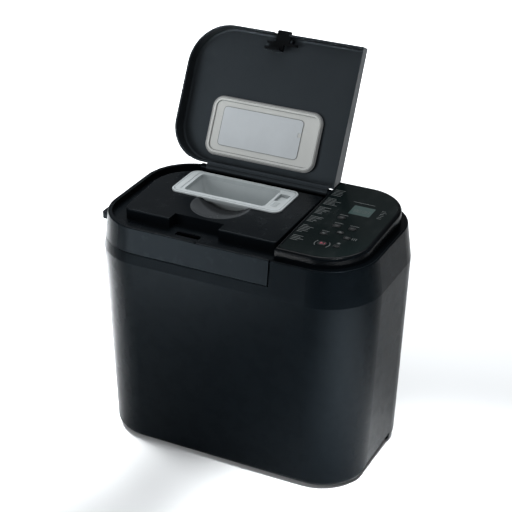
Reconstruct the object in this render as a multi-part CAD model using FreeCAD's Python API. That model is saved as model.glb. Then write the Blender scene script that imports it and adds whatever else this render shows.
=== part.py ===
"""Bread machine with a raised ingredient cover, a hinged main lid and a belt-driven kneading blade.

Millimetres, +Z up.  The machine is modelled about the middle of its casing, with the floor at z = 0,
and every piece is moved at the end so that the origin is under the middle of the whole object.
"""

import FreeCAD
import Part

import math
import os

# ---------------------------------------------------------------- driving dimensions
# Casing: a rounded box that widens up to a soft crease and then draws in to the rim
BODY_W = 400.0
BODY_D = 240.0
BODY_R = 76.0
FOOT_H = 4.0
CREASE_Z = 285.0
RIM_Z = 335.0
BASE_INSET = 10.0
RIM_INSET = 6.4
WALL = 2.6
EDGE_R = 9.0
RIM_ROUND = 1.6
FLOOR_T = 6.0

# Split between the main lid and the fixed right-hand side
SPLIT_X = 72.5
SPLIT_GAP = 2.2
APRON_Z = 300.4
LID_GAP = 1.0
LID_REAR_Y = BODY_D / 2 - 16.5
REAR_WALL_Z = 324.0

# Hand grips cut into the bottom edge of both sides
GRIP_Y0 = -62.0
GRIP_Y1 = 38.0
GRIP_H = 14.0
GRIP_DEPTH = 24.0

# Base plate, feet and screws
PLATE_T = 3.0
PLATE_MARGIN = 32.0
LEDGE = 8.0
FIT = 0.3
FOOT_R = 12.0
FOOT_X = 140.0
FOOT_Y = 64.0
SCREW_R = 1.5
HEAD_R = 3.2
HEAD_H = 2.0

# Baking chamber and pan
CHAMBER_X = -56.0
CHAMBER_W = 192.0
CHAMBER_D = 168.0
CHAMBER_R = 26.0
CHAMBER_Z = 78.0
SHEET = 1.0
DECK_Z = 297.5
DECK_T = 3.0
DECK_LIP = 3.0
PAN_W = 168.0
PAN_D = 126.0
PAN_R = 24.0
PAN_TAPER = 4.0
PAN_Z = CHAMBER_Z + 16.0
PAN_H = 132.0
PAN_T = 1.4
HANDLE_REACH = 70.0
HANDLE_R = 2.0
EYE_R = 4.2
EYE_HALF_W = 2.3
HEATER_R = 3.3
HEATER_Z = CHAMBER_Z + 24.0

# Drive
CHASSIS_Z = 44.0
CHASSIS_T = 1.5
SHAFT_R = 5.0
RUNNING = 0.05
PULLEY_R = 45.0
PULLEY_Z = 24.0
PULLEY_H = 14.0
MOTOR_X = 118.0
MOTOR_PULLEY_R = 9.0
MOTOR_SHAFT_R = 4.0
BELT_T = 2.5
BELT_GAP = 0.3
STATOR_W = 74.0
STATOR_Z = 62.0
STATOR_H = 36.0
ROTOR_R = 24.0

# Lid top: rim ring, sunken channel and raised platform
RING_W = 5.6
CHANNEL_Z = 325.0
CHANNEL_T = 2.6
PLATFORM_Z = 340.0
PLATFORM_X0 = -BODY_W / 2 + 26.5
PLATFORM_X1 = 63.0
PLATFORM_Y0 = -BODY_D / 2 + 46.0
PLATFORM_Y1 = BODY_D / 2 - 41.0
RECESS_X0 = -93.0
RECESS_X1 = -20.0
RECESS_DEPTH = 17.0
SLOT_X0 = -79.0
SLOT_X1 = -43.0
SLOT_Y0 = PLATFORM_Y0 - 12.0
SLOT_Y1 = PLATFORM_Y0 - 2.0
HOLLOW_X = -50.0
HOLLOW_Y = -8.0
HOLLOW_R = 66.0
HOLLOW_HALF_W = 40.0
HOLLOW_DEPTH = 13.5

# Ingredient dispenser in the platform
TRAY_X0 = -135.0
TRAY_X1 = 31.0
TRAY_Y0 = 1.0
TRAY_Y1 = 74.0
TRAY_R = 12.0
TRAY_RISE = 2.3
HOPPER_X0 = -118.0
HOPPER_X1 = 4.0
HOPPER_Y0 = 12.0
HOPPER_Y1 = 68.0
HOPPER_Z = 306.0
HOPPER_T = 1.8
HOPPER_DRAFT_X = 14.0
HOPPER_DRAFT_Y = 7.0
FLAP_T = 2.0

# Main lid hinge behind the rim
LID_HINGE_Y = BODY_D / 2 + 2.0
LID_HINGE_Z = 331.0
LID_BARREL_R = 5.5
LID_PIN_R = 2.5
LID_HINGE_X = (-112.0, 20.0)
LID_KNUCKLE_W = 26.0
LID_LUG_W = 9.0

# Control panel on the right
PANEL_INSET = 15.7
PANEL_X0 = 74.0
PANEL_FRONT_Z = 348.3
PANEL_FRONT_Y = -BODY_D / 2 + 10.0
PANEL_SLOPE = 0.035
PANEL_WALL = 2.6
PANEL_ROUND = 4.0
FILM_T = 0.8
FILM_MARGIN = 5.0
LCD_X = 136.0
LCD_Y = 35.0
LCD_W = 30.0
LCD_D = 25.0
BUTTON_STROKE = 0.8
BUTTON_RISE = 1.0
BOARD_DROP = 14.0
BOARD_T = 1.6

# Ingredient cover, drawn closed and then raised about its hinge
COVER_INSET = 14.0
COVER_X1 = 71.0
COVER_Y1 = BODY_D / 2 - 29.0
COVER_REAR_R = 52.0
COVER_SKIRT_Z = 328.0
COVER_T = 2.5
COVER_ROUND = 6.0
COVER_HINGE_Y = COVER_Y1 + 6.2
COVER_HINGE_Z = 337.9
COVER_BARREL_R = 5.0
COVER_PIN_R = 2.0
COVER_LEAF_X0 = -126.0
COVER_LEAF_X1 = 60.0
COVER_OPEN = 117.5
PAD_X0 = -140.0
PAD_X1 = 28.0
PAD_Y0 = -6.0
PAD_Y1 = 76.0
PAD_R = 15.0
PAD_Z = 343.2
LATCH_X0 = -63.0
LATCH_X1 = -42.0
LATCH_Y = -BODY_D / 2 + 23.0
LATCH_Z = 341.0
LATCH_REACH = 14.0
LATCH_PIN_R = 1.3
LEG_REACH = 16.0

BUTTONS = {
    "button_menu": (119.0, 7.0, 5.5, 4.0),
    "button_crust": (122.0, -16.0, 5.5, 4.0),
    "button_size": (144.0, -16.0, 5.5, 4.0),
    "button_timer_down": (115.0, -42.0, 5.0, 3.6),
    "button_timer_up": (133.5, -31.0, 5.0, 3.6),
    "button_light": (147.0, -41.0, 5.0, 3.6),
    "button_start": (124.0, -67.0, 6.5, 5.0),
    "button_keep_warm": (143.0, -66.0, 4.6, 3.6),
}

parts = {}

# Casing: sizes of its inner pieces and what follows from them
LID_X1 = SPLIT_X - SPLIT_GAP / 2
FIXED_X0 = SPLIT_X + SPLIT_GAP / 2
CASING_TOP = APRON_Z - LID_GAP
INNER_Z = FOOT_H + FLOOR_T
PLATE_X = BODY_W / 2 - PLATE_MARGIN
PLATE_Y = BODY_D / 2 - PLATE_MARGIN
PLATE_R = BODY_R - PLATE_MARGIN
PLATE_TOP = FOOT_H + PLATE_T
FAR = BODY_W
BASE_SCREWS = [(x, y) for x in (-155.0, 0.0, 155.0) for y in (-84.0, 84.0)]
BASE_SCREWS = [(x * 0.98, y if x == 0 else y * 0.62) for x, y in BASE_SCREWS]
GLAND_X = 108.0
GLAND_Z = 40.0
GLAND_R = 8.0
CORD_R = 3.6
FOOT_STEM_R = 3.5
DECK_SCREWS = [(-BODY_W / 2 + 30, y) for y in (-30.0, 30.0)] + [(60.0, y) for y in (-80.0, 80.0)]
DECK_SCREWS += [(CHAMBER_X, y) for y in (-CHAMBER_D / 2 - 17, CHAMBER_D / 2 + 17)]

# Baking chamber: sizes of its inner pieces and what follows from them
CHAMBER_TOP = DECK_Z - DECK_T
BEARING_Z = CHASSIS_Z + CHASSIS_T
TERMINAL_Y = 14.0
SENSOR_X = -100.0
SENSOR_Z = 160.0
SOCKET_R = 38.0
SOCKET_BORE = 34.4
SOCKET_LIP = 31.6
LUG_ANGLES = (0.0, 120.0, 240.0)

# Bread pan and blade: sizes of its inner pieces and what follows from them
PAN_TOP = PAN_Z + PAN_H
PIVOT_Z = PAN_TOP - 10
EAR_X = PAN_W / 2 + 1.2
BUSH_R = 8.0
PAN_SHAFT_R = 4.0
SHAFT_TOP = PAN_Z + 24.0
COUPLING_Z = PAN_Z - 3.4

# Drive: sizes of its inner pieces and what follows from them
DOG_Z = CHAMBER_Z + SHEET + 1.0
ROTOR_Z = STATOR_Z - 1
ROTOR_TOP = STATOR_Z + STATOR_H + 1
MOUNT_Z = BEARING_Z + 4
STAND_X = 31.0

# Electrics: sizes of its inner pieces and what follows from them
SHIELD_X = 57.0
BOARD_X = SHIELD_X + SHEET + 6

# Control panel: sizes of its inner pieces and what follows from them
BOARD_X0 = 79.0
BOARD_X1 = 168.0
BOARD_Y0 = -76.0
BOARD_Y1 = 76.0
BOARD_POSTS = [(84.0, -70.0), (162.0, -50.0), (84.0, 70.0), (162.0, 55.0)]
SWITCH_H = 3.5
STEM_Z = -BOARD_DROP + BOARD_T + SWITCH_H + BUTTON_STROKE + 0.3

# Main lid: sizes of its inner pieces and what follows from them
PLATFORM = [(PLATFORM_X1, PLATFORM_Y0, 3.0), (PLATFORM_X1, PLATFORM_Y1, 3.0),
            (PLATFORM_X0, PLATFORM_Y1, 58.0), (PLATFORM_X0 + 11.5, PLATFORM_Y0, 10.0)]
UNDER_Z = 301.0
UNDER_T = 2.4
LID_SCREWS = [(-BODY_W / 2 + 24, -40.0), (-BODY_W / 2 + 24, 40.0), (54.0, -62.0), (54.0, 68.0)]
COVER_POSTS = [(-134.0, COVER_LEAF_X0 - 0.5), (COVER_LEAF_X1 + 0.5, 67.0)]
GRIP_TAB_Z = 313.0

# Dispenser: sizes of its inner pieces and what follows from them
TRAY_TOP = PLATFORM_Z + TRAY_RISE
WINDOW_X0 = 7.5
WINDOW_X1 = 22.5
CATCH_Y0 = 13.0
CATCH_Y1 = 35.0
CATCH_TRAVEL = 4.0
WINDOW_Y1 = 58.0
SOLENOID_X = 34.0
SOLENOID_Y = 38.0
SOLENOID_Z = 314.0
PLUNGER_R = 3.0
FINGER_X0 = 3.6
FINGER_X1 = 6.6
NOSE_GAP = 0.6
FLAP_PIN_R = 1.2
FLAP_HINGE_Y = HOPPER_Y1 - HOPPER_DRAFT_Y + 4.5
FLAP_HINGE_Z = HOPPER_Z - 0.5
FLAP_X0 = HOPPER_X0 + HOPPER_DRAFT_X + 5.4
FLAP_X1 = HOPPER_X1 - HOPPER_DRAFT_X * 0.4 - 5.4

# Ingredient cover: sizes of its inner pieces and what follows from them
COVER_X0 = -BODY_W / 2 + COVER_INSET
COVER_Y0 = -BODY_D / 2 + COVER_INSET
COVER_R = BODY_R - COVER_INSET
PLATE_BOX = (-122.0, 1.0, 7.0, 62.0)
PAD_LIP_W = 5.0
PAD_RECESS = 2.5
PAD_PLATE_T = 0.8


# ---------------------------------------------------------------- shape helpers
def vec(x, y, z=0.0):
    return FreeCAD.Vector(x, y, z)


def outline(corners, z):
    """A closed wire at height z through corners (x, y, radius), each rounded by its own arc."""
    count = len(corners)
    stops = []
    for i in range(count):
        x, y, radius = corners[i]
        here = vec(x, y, z)
        back = vec(corners[i - 1][0], corners[i - 1][1], z) - here
        ahead = vec(corners[(i + 1) % count][0], corners[(i + 1) % count][1], z) - here
        half = back.getAngle(ahead) / 2
        back.normalize()
        ahead.normalize()
        if radius <= 0:
            stops.append((here, here, None))
            continue
        run = radius / math.tan(half)
        inward = back + ahead
        inward.normalize()
        middle = here + inward * (radius / math.sin(half) - radius)
        stops.append((here + back * run, here + ahead * run, middle))
    edges = []
    for i in range(count):
        start, end, middle = stops[i]
        previous = stops[i - 1][1]
        if previous.distanceToPoint(start) > 1e-6:
            edges.append(Part.LineSegment(previous, start).toShape())
        if middle is not None:
            edges.append(Part.Arc(start, middle, end).toShape())
    return Part.Wire(Part.__sortEdges__(edges))


def prism(corners, z0, z1):
    return Part.Face(outline(corners, z0)).extrude(vec(0, 0, z1 - z0))


def loft(lower, z0, upper, z1):
    """A solid with flat or conical sides between two outlines of the same make."""
    return Part.makeLoft([outline(lower, z0), outline(upper, z1)], True, True)


def rectangle(x0, x1, y0, y1, radius):
    return [(x0, y0, radius), (x1, y0, radius), (x1, y1, radius), (x0, y1, radius)]


def block(x0, x1, y0, y1, z0, z1, radius=0.0):
    if radius > 0:
        return prism(rectangle(x0, x1, y0, y1, radius), z0, z1)
    return Part.makeBox(x1 - x0, y1 - y0, z1 - z0, vec(x0, y0, z0))


def post(x, y, z0, z1, radius):
    return Part.makeCylinder(radius, z1 - z0, vec(x, y, z0))


def rod_x(x0, x1, y, z, radius):
    return Part.makeCylinder(radius, x1 - x0, vec(x0, y, z), vec(1, 0, 0))


def rod_y(y0, y1, x, z, radius):
    return Part.makeCylinder(radius, y1 - y0, vec(x, y0, z), vec(0, 1, 0))


def fuse(*shapes):
    joined = shapes[0]
    if len(shapes) > 1:
        joined = joined.fuse(list(shapes[1:]))
    return joined.removeSplitter()


def cut(shape, *tools):
    return shape.cut(list(tools)) if tools else shape


def group(shapes):
    return Part.makeCompound(shapes)


def round_edges(shape, radius, wanted):
    edges = [edge for edge in shape.Edges if wanted(edge.BoundBox)]
    return shape.makeFillet(radius, edges)


def tube(points, radius, bend):
    """A round bar along straight runs joined by tangent arcs of one bend radius."""
    edges = []
    last = points[0]
    for i in range(1, len(points) - 1):
        here = points[i]
        back = points[i - 1] - here
        ahead = points[i + 1] - here
        half = back.getAngle(ahead) / 2
        back.normalize()
        ahead.normalize()
        run = bend / math.tan(half)
        inward = back + ahead
        inward.normalize()
        middle = here + inward * (bend / math.sin(half) - bend)
        edges.append(Part.LineSegment(last, here + back * run).toShape())
        edges.append(Part.Arc(here + back * run, middle, here + ahead * run).toShape())
        last = here + ahead * run
    edges.append(Part.LineSegment(last, points[-1]).toShape())
    path = Part.Wire(edges)
    along = points[1] - points[0]
    section = Part.Wire(Part.Circle(points[0], along, radius).toShape())
    return path.makePipeShell([section], True, False)


def screw_down(x, y, z, length):
    """A pan-head screw whose head sits on top of height z and whose shank points down."""
    return fuse(post(x, y, z, z + HEAD_H, HEAD_R), post(x, y, z - length, z, SCREW_R))


def screw_up(x, y, z, length):
    """A pan-head screw whose head hangs below height z and whose shank points up."""
    return fuse(post(x, y, z - HEAD_H, z, HEAD_R), post(x, y, z, z + length, SCREW_R))


# ---------------------------------------------------------------- casing
def inset_at(z):
    """How far the casing wall stands inside its widest outline at height z."""
    if z <= CREASE_Z:
        return BASE_INSET * (CREASE_Z - z) / (CREASE_Z - FOOT_H)
    return RIM_INSET * (z - CREASE_Z) / (RIM_Z - CREASE_Z)


def body_corners(offset, z):
    inset = inset_at(z) + offset
    half_w = BODY_W / 2 - inset
    half_d = BODY_D / 2 - inset
    return rectangle(-half_w, half_w, -half_d, half_d, BODY_R - inset)


def body_solid(offset, z0, z1):
    """The casing's outer form, drawn in by offset, between two heights."""
    levels = [z0] + [CREASE_Z] * (z0 < CREASE_Z < z1) + [z1]
    bands = []
    for low, high in zip(levels, levels[1:]):
        bands.append(loft(body_corners(offset, low), low, body_corners(offset, high), high))
    return fuse(*bands)


def grip_cutter(side, deeper):
    """The room for fingers under one side, with a sloped front end; side is -1 or +1."""
    top = FOOT_H + GRIP_H + deeper
    inner = BODY_W / 2 - GRIP_DEPTH - deeper
    y0 = GRIP_Y0 - deeper
    y1 = GRIP_Y1 + deeper
    low = FOOT_H - 1.0
    profile = Part.makePolygon([
        vec(0, y0 - GRIP_H, low), vec(0, y1, low), vec(0, y1, top),
        vec(0, y0 + GRIP_H, top), vec(0, y0 - GRIP_H, low)])
    cutter = Part.Face(profile).extrude(vec(GRIP_DEPTH + 2 * deeper + 10, 0, 0))
    cutter.translate(vec(inner, 0, 0))
    if side < 0:
        cutter = cutter.mirror(vec(0, 0, 0), vec(1, 0, 0))
    return cutter


def make_casing():
    outer = body_solid(0, FOOT_H, RIM_Z)
    outer = round_edges(outer, EDGE_R, lambda b: b.ZMax < FOOT_H + 0.01)
    outer = round_edges(outer, RIM_ROUND, lambda b: b.ZMin > RIM_Z - 0.01)
    shell = cut(outer, body_solid(WALL, INNER_Z, RIM_Z + 1))
    # Pockets behind the hand grips, kept inside the outer form
    for side in (-1, 1):
        pocket = grip_cutter(side, WALL).common(outer)
        pocket = pocket.common(block(-FAR, FAR, -FAR, FAR, FOOT_H + EDGE_R * 0.2, FAR))
        shell = shell.fuse(pocket)
    shell = cut(shell, grip_cutter(-1, 0), grip_cutter(1, 0))
    # Opening for the base plate with a ledge above it
    shell = cut(
        shell,
        block(-PLATE_X - FIT, PLATE_X + FIT, -PLATE_Y - FIT, PLATE_Y + FIT,
              FOOT_H - 1, PLATE_TOP, PLATE_R + FIT),
        block(-PLATE_X + LEDGE, PLATE_X - LEDGE, -PLATE_Y + LEDGE, PLATE_Y - LEDGE,
              FOOT_H - 1, INNER_Z + 1, PLATE_R - LEDGE))
    # Screw bosses stand on the ledge
    for x, y in BASE_SCREWS:
        boss = block(x - 5, x + 5, y - 5, y + 5, PLATE_TOP, PLATE_TOP + 12)
        reach = block(x - 5, x + 5, min(y, math.copysign(PLATE_Y, y)),
                      max(y, math.copysign(PLATE_Y, y)), PLATE_TOP, INNER_Z)
        shell = shell.fuse([boss, reach.common(outer)])
        shell = cut(shell, post(x, y, PLATE_TOP - 1, PLATE_TOP + 10, SCREW_R))
    # The lid's share of the upper band is left out, down to a lower wall at the rear
    shell = cut(
        shell,
        block(-FAR, FIXED_X0, -FAR, LID_REAR_Y + LID_GAP, CASING_TOP, FAR),
        block(-FAR, FIXED_X0, LID_REAR_Y, FAR, REAR_WALL_Z, FAR))
    # Hinge lugs for the main lid
    for x in LID_HINGE_X:
        for side in (-1, 1):
            inner = x + side * (LID_KNUCKLE_W / 2 + FIT)
            x0, x1 = sorted((inner, inner + side * LID_LUG_W))
            web = block(x0, x1, BODY_D / 2 - 7.5, LID_HINGE_Y + 2, 312, REAR_WALL_Z)
            neck = block(x0, x1, BODY_D / 2 - 3.6, LID_HINGE_Y, REAR_WALL_Z, LID_HINGE_Z)
            shell = shell.fuse([web, neck, rod_x(x0, x1, LID_HINGE_Y, LID_HINGE_Z, LID_BARREL_R)])
            shell = cut(shell, rod_x(x0 - 1, x1 + 1, LID_HINGE_Y, LID_HINGE_Z, LID_PIN_R))
    # Cord gland hole and cooling slots in the rear wall, beside the motor bay
    rear = BODY_D / 2
    shell = cut(shell, rod_y(rear - 30, rear + 10, GLAND_X, GLAND_Z, GLAND_R))
    for row in range(6):
        z = 80.0 + 9.0 * row
        shell = cut(shell, block(88, 148, rear - 25, rear + 10, z, z + 3.5))
    return shell.removeSplitter()


def make_base_plate():
    plate = block(-PLATE_X, PLATE_X, -PLATE_Y, PLATE_Y, FOOT_H, PLATE_TOP, PLATE_R)
    for x, y in BASE_SCREWS:
        plate = cut(plate, post(x, y, FOOT_H - 1, PLATE_TOP + 1, SCREW_R + 0.2))
        plate = cut(plate, post(x, y, FOOT_H - 1, FOOT_H + 1.2, HEAD_R + 0.3))
    for x in (-FOOT_X, FOOT_X):
        for y in (-FOOT_Y, FOOT_Y):
            plate = cut(plate, post(x, y, FOOT_H - 1, PLATE_TOP + 1, FOOT_STEM_R))
    for i in range(7):
        x = 82.0 + 9.0 * i
        plate = cut(plate, block(x, x + 4, -40, 40, FOOT_H - 1, PLATE_TOP + 1, 1.9))
    return plate


def make_feet():
    feet = []
    for x in (-FOOT_X, FOOT_X):
        for y in (-FOOT_Y, FOOT_Y):
            disc = post(x, y, 0, FOOT_H, FOOT_R)
            disc = round_edges(disc, 1.0, lambda b: b.ZMax < 0.01)
            stem = post(x, y, FOOT_H, PLATE_TOP, FOOT_STEM_R)
            barb = Part.makeCone(FOOT_STEM_R + 1.2, FOOT_STEM_R - 1, 3.0, vec(x, y, PLATE_TOP))
            feet.append(fuse(disc, stem, barb))
    return group(feet)


def make_deck():
    """The plastic deck under the lid, with the mouth of the baking chamber."""
    deck = body_solid(WALL + FIT, DECK_Z - DECK_T, DECK_Z)
    deck = deck.common(block(-FAR, FIXED_X0 - FIT, -FAR, FAR, 0, FAR))
    mouth = block(*chamber_box(-DECK_LIP), DECK_Z - DECK_T - 1, DECK_Z + 1, CHAMBER_R - DECK_LIP)
    deck = cut(deck, mouth)
    # A shallow rebate that takes the lid seal
    seat = block(*chamber_box(8), DECK_Z - 0.8, DECK_Z + 1, CHAMBER_R + 8)
    deck = cut(deck, seat)
    for x, y in DECK_SCREWS:
        deck = cut(deck, post(x, y, DECK_Z - DECK_T - 1, DECK_Z + 1, SCREW_R))
    return deck


def chamber_box(grow):
    """The chamber's inner outline as x0, x1, y0, y1, grown outwards by grow."""
    return (CHAMBER_X - CHAMBER_W / 2 - grow, CHAMBER_X + CHAMBER_W / 2 + grow,
            -CHAMBER_D / 2 - grow, CHAMBER_D / 2 + grow)


# ---------------------------------------------------------------- baking chamber
def make_chamber():
    outer = block(*chamber_box(SHEET), CHAMBER_Z, CHAMBER_TOP, CHAMBER_R + SHEET)
    inner = block(*chamber_box(0), CHAMBER_Z + SHEET, CHAMBER_TOP + 1, CHAMBER_R)
    flange = block(*chamber_box(8), CHAMBER_TOP - SHEET, CHAMBER_TOP, CHAMBER_R + 8)
    chamber = cut(fuse(outer, flange), inner)
    right = CHAMBER_X + CHAMBER_W / 2
    front = -CHAMBER_D / 2
    holes = [post(CHAMBER_X, 0, CHAMBER_Z - 1, CHAMBER_Z + 3, SHAFT_R + 1.5)]
    for y in (-TERMINAL_Y, TERMINAL_Y):
        holes.append(rod_x(right - 4, right + 4, y, HEATER_Z, HEATER_R + 1.2))
    holes.append(rod_y(front - 4, front + 4, SENSOR_X, SENSOR_Z, 2.7))
    return cut(chamber, *holes)


def make_heater():
    """A round sheathed element that runs once around the foot of the pan."""
    half_x = CHAMBER_W / 2 - 7
    half_y = CHAMBER_D / 2 - 12
    x0 = CHAMBER_X - half_x
    x1 = CHAMBER_X + half_x
    out = x1 + 22
    z = HEATER_Z
    route = [vec(out, -TERMINAL_Y, z), vec(x1, -TERMINAL_Y, z), vec(x1, -half_y, z),
             vec(x0, -half_y, z), vec(x0, half_y, z), vec(x1, half_y, z),
             vec(x1, TERMINAL_Y, z), vec(out, TERMINAL_Y, z)]
    return tube(route, HEATER_R, 10.0)


def make_heater_supports():
    """Pressed steel stirrups that carry the element above the chamber floor."""
    supports = []
    half_y = CHAMBER_D / 2 - 12
    for x in (CHAMBER_X - 45, CHAMBER_X + 45):
        for y in (-half_y, half_y):
            stirrup = block(x - 4, x + 4, y - 6, y + 6, CHAMBER_Z + SHEET, HEATER_Z)
            channel = block(x - 5, x + 5, y - 4, y + 4, CHAMBER_Z + SHEET + 1.2, HEATER_Z - 8)
            bed = rod_x(x - 5, x + 5, y, HEATER_Z, HEATER_R)
            supports.append(cut(stirrup, channel, bed))
    return group(supports)


def make_sensor():
    front = -CHAMBER_D / 2 - SHEET
    body = rod_y(front - 7, front, SENSOR_X, SENSOR_Z, 8)
    probe = rod_y(front, front + 9, SENSOR_X, SENSOR_Z, 2.5)
    tab = block(SENSOR_X - 14, SENSOR_X + 14, front - 1.5, front, SENSOR_Z - 4, SENSOR_Z + 4, 0)
    return fuse(body, probe, tab)


def sector(radius, z0, z1, start, span):
    """A wedge of a disc about the pan's axis, from start over span degrees."""
    wedge = Part.makeCylinder(radius, z1 - z0, vec(CHAMBER_X, 0, z0), vec(0, 0, 1), span)
    return turned(wedge, start)


def turned(shape, angle):
    shape.rotate(vec(CHAMBER_X, 0, 0), vec(0, 0, 1), angle)
    return shape


def make_pan_socket():
    """The bayonet ring on the chamber floor that the pan twists into."""
    floor = CHAMBER_Z + SHEET
    ring = cut(post(CHAMBER_X, 0, floor, PAN_Z, SOCKET_R),
               post(CHAMBER_X, 0, floor - 1, PAN_Z - 3, SOCKET_BORE),
               post(CHAMBER_X, 0, floor, PAN_Z + 1, SOCKET_LIP))
    for angle in LUG_ANGLES:
        ring = cut(ring, sector(SOCKET_BORE, PAN_Z - 4, PAN_Z + 1, angle + 45, 42))
    return ring


def make_pan_foot():
    floor = CHAMBER_Z + SHEET
    ring = cut(post(CHAMBER_X, 0, floor + 2, PAN_Z, SOCKET_LIP - 0.6),
               post(CHAMBER_X, 0, floor, PAN_Z + 1, 27))
    for angle in LUG_ANGLES:
        lug = cut(sector(SOCKET_BORE - 0.5, PAN_Z - 7, PAN_Z - 3.4, angle, 34),
                  post(CHAMBER_X, 0, PAN_Z - 8, PAN_Z, 29))
        ring = ring.fuse(lug)
    return ring.removeSplitter()


# ---------------------------------------------------------------- bread pan and blade
def pan_corners(draw_in):
    half_w = PAN_W / 2 - draw_in
    half_d = PAN_D / 2 - draw_in
    return rectangle(CHAMBER_X - half_w, CHAMBER_X + half_w, -half_d, half_d, PAN_R - draw_in)


def make_pan():
    outer = loft(pan_corners(PAN_TAPER), PAN_Z, pan_corners(0), PAN_TOP)
    outer = round_edges(outer, 7, lambda b: b.ZMax < PAN_Z + 0.01)
    inner = loft(pan_corners(PAN_TAPER + PAN_T), PAN_Z + PAN_T, pan_corners(PAN_T), PAN_TOP)
    inner = round_edges(inner, 5.6, lambda b: b.ZMax < PAN_Z + PAN_T + 0.01)
    roll = cut(prism(pan_corners(-1.6), PAN_TOP - 3.5, PAN_TOP),
               prism(pan_corners(0.5), PAN_TOP - 5, PAN_TOP + 1))
    pan = fuse(cut(outer, inner), roll)
    for side in (-1, 1):
        x0, x1 = sorted((CHAMBER_X + side * (PAN_W / 2 - 1.2), CHAMBER_X + side * EAR_X))
        ear = block(x0, x1, -9, 9, PIVOT_Z - 9, PAN_TOP - 3)
        pin_x0, pin_x1 = (x0, x1 + 1.6) if side > 0 else (x0 - 1.6, x1)
        pin = rod_x(pin_x0, pin_x1, 0, PIVOT_Z, 1.6)
        pan = pan.fuse([cut(ear, inner), cut(pin, inner)])
    pan = cut(pan.fuse(make_pan_foot()), post(CHAMBER_X, 0, PAN_Z - 1, PAN_Z + PAN_T + 1, BUSH_R))
    return pan.removeSplitter()


def make_pan_bush():
    bush = fuse(post(CHAMBER_X, 0, PAN_Z - 0.6, PAN_Z + 10, BUSH_R),
                post(CHAMBER_X, 0, PAN_Z + PAN_T, PAN_Z + PAN_T + 2, BUSH_R + 4))
    return cut(bush, post(CHAMBER_X, 0, PAN_Z - 2, PAN_Z + 12, PAN_SHAFT_R + RUNNING))


def make_pan_shaft():
    """The blade's shaft, riveted to a two-pronged dog that the driving bar turns."""
    disc = post(CHAMBER_X, 0, COUPLING_Z, COUPLING_Z + 2, 13)
    prongs = [block(CHAMBER_X + 3, CHAMBER_X + 10, 4, 9, COUPLING_Z - 6, COUPLING_Z + 1),
              block(CHAMBER_X - 10, CHAMBER_X - 3, -9, -4, COUPLING_Z - 6, COUPLING_Z + 1)]
    return fuse(post(CHAMBER_X, 0, COUPLING_Z, SHAFT_TOP, PAN_SHAFT_R), disc, *prongs)


def make_blade():
    hub_z = PAN_Z + 10.8
    hub = fuse(post(CHAMBER_X, 0, hub_z, SHAFT_TOP, 8),
               Part.makeCone(8, 5.5, 4, vec(CHAMBER_X, 0, SHAFT_TOP)))
    profile = Part.makePolygon([vec(0, 0, hub_z), vec(40, 0, hub_z), vec(43, 0, hub_z + 4),
                                vec(38, 0, hub_z + 9), vec(14, 0, SHAFT_TOP + 9),
                                vec(0, 0, SHAFT_TOP + 3), vec(0, 0, hub_z)])
    fin = Part.Face(profile).extrude(vec(0, 4.4, 0))
    fin.translate(vec(CHAMBER_X, -2.2, 0))
    foot = block(CHAMBER_X, CHAMBER_X + 38, -2.2, 9, hub_z, hub_z + 2.2)
    blade = fuse(hub, fin, foot)
    blade = cut(blade, post(CHAMBER_X, 0, hub_z - 1, SHAFT_TOP + 0.5, PAN_SHAFT_R + RUNNING))
    return turned(blade, 25)


def make_handle():
    """The wire bail, folded down to the front over the pan's long side."""
    arm = PAN_W / 2 + 4.9
    x0 = CHAMBER_X - arm
    x1 = CHAMBER_X + arm
    y = -HANDLE_REACH
    route = [vec(x0, 0, PIVOT_Z), vec(x0, y, PIVOT_Z), vec(x1, y, PIVOT_Z), vec(x1, 0, PIVOT_Z)]
    bail = tube(route, HANDLE_R, 12)
    for x in (x0, x1):
        bail = bail.fuse(rod_x(x - EYE_HALF_W, x + EYE_HALF_W, 0, PIVOT_Z, EYE_R))
    for x in (x0, x1):
        bail = cut(bail, rod_x(x - 5, x + 5, 0, PIVOT_Z, 1.6 + 0.08))
    return bail.removeSplitter()


# ---------------------------------------------------------------- drive
def make_chassis():
    top = block(-158, 166, -84, 84, CHASSIS_Z, BEARING_Z, 6)
    cheeks = [block(-140, 140, y, y + CHASSIS_T, PLATE_TOP, CHASSIS_Z) for y in (-72.0, 72.0 - CHASSIS_T)]
    legs = [post(CHAMBER_X + x, y, BEARING_Z, CHAMBER_Z, 5) for x in (-60, 60) for y in (-50, 50)]
    chassis = fuse(top, *cheeks, *legs)
    holes = [post(CHAMBER_X, 0, CHASSIS_Z - 1, BEARING_Z + 1, 14),
             post(MOTOR_X, 0, CHASSIS_Z - 1, BEARING_Z + 1, 16)]
    return cut(chassis, *holes)


def make_bearing_housing():
    housing = fuse(post(CHAMBER_X, 0, BEARING_Z, CHAMBER_Z, 15),
                   post(CHAMBER_X, 0, BEARING_Z, BEARING_Z + 4, 27))
    return cut(housing, post(CHAMBER_X, 0, BEARING_Z - 1, CHAMBER_Z + 1, 9))


def make_bearing_bushes():
    bushes = []
    for z in (BEARING_Z + 1, CHAMBER_Z - 13):
        bore = post(CHAMBER_X, 0, z - 1, z + 13, SHAFT_R + RUNNING)
        bushes.append(cut(post(CHAMBER_X, 0, z, z + 12, 9), bore))
    return group(bushes)


def make_drive_shaft():
    """The steel shaft with the driving bar pinned to its top, under the pan."""
    shaft = post(CHAMBER_X, 0, PULLEY_Z - 2, DOG_Z + 4, SHAFT_R)
    hub = post(CHAMBER_X, 0, DOG_Z, DOG_Z + 4, 10)
    bar = block(CHAMBER_X - 12, CHAMBER_X + 12, -3, 3, DOG_Z + 3, COUPLING_Z - 0.6, 2.9)
    return fuse(shaft, hub, bar)


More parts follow.
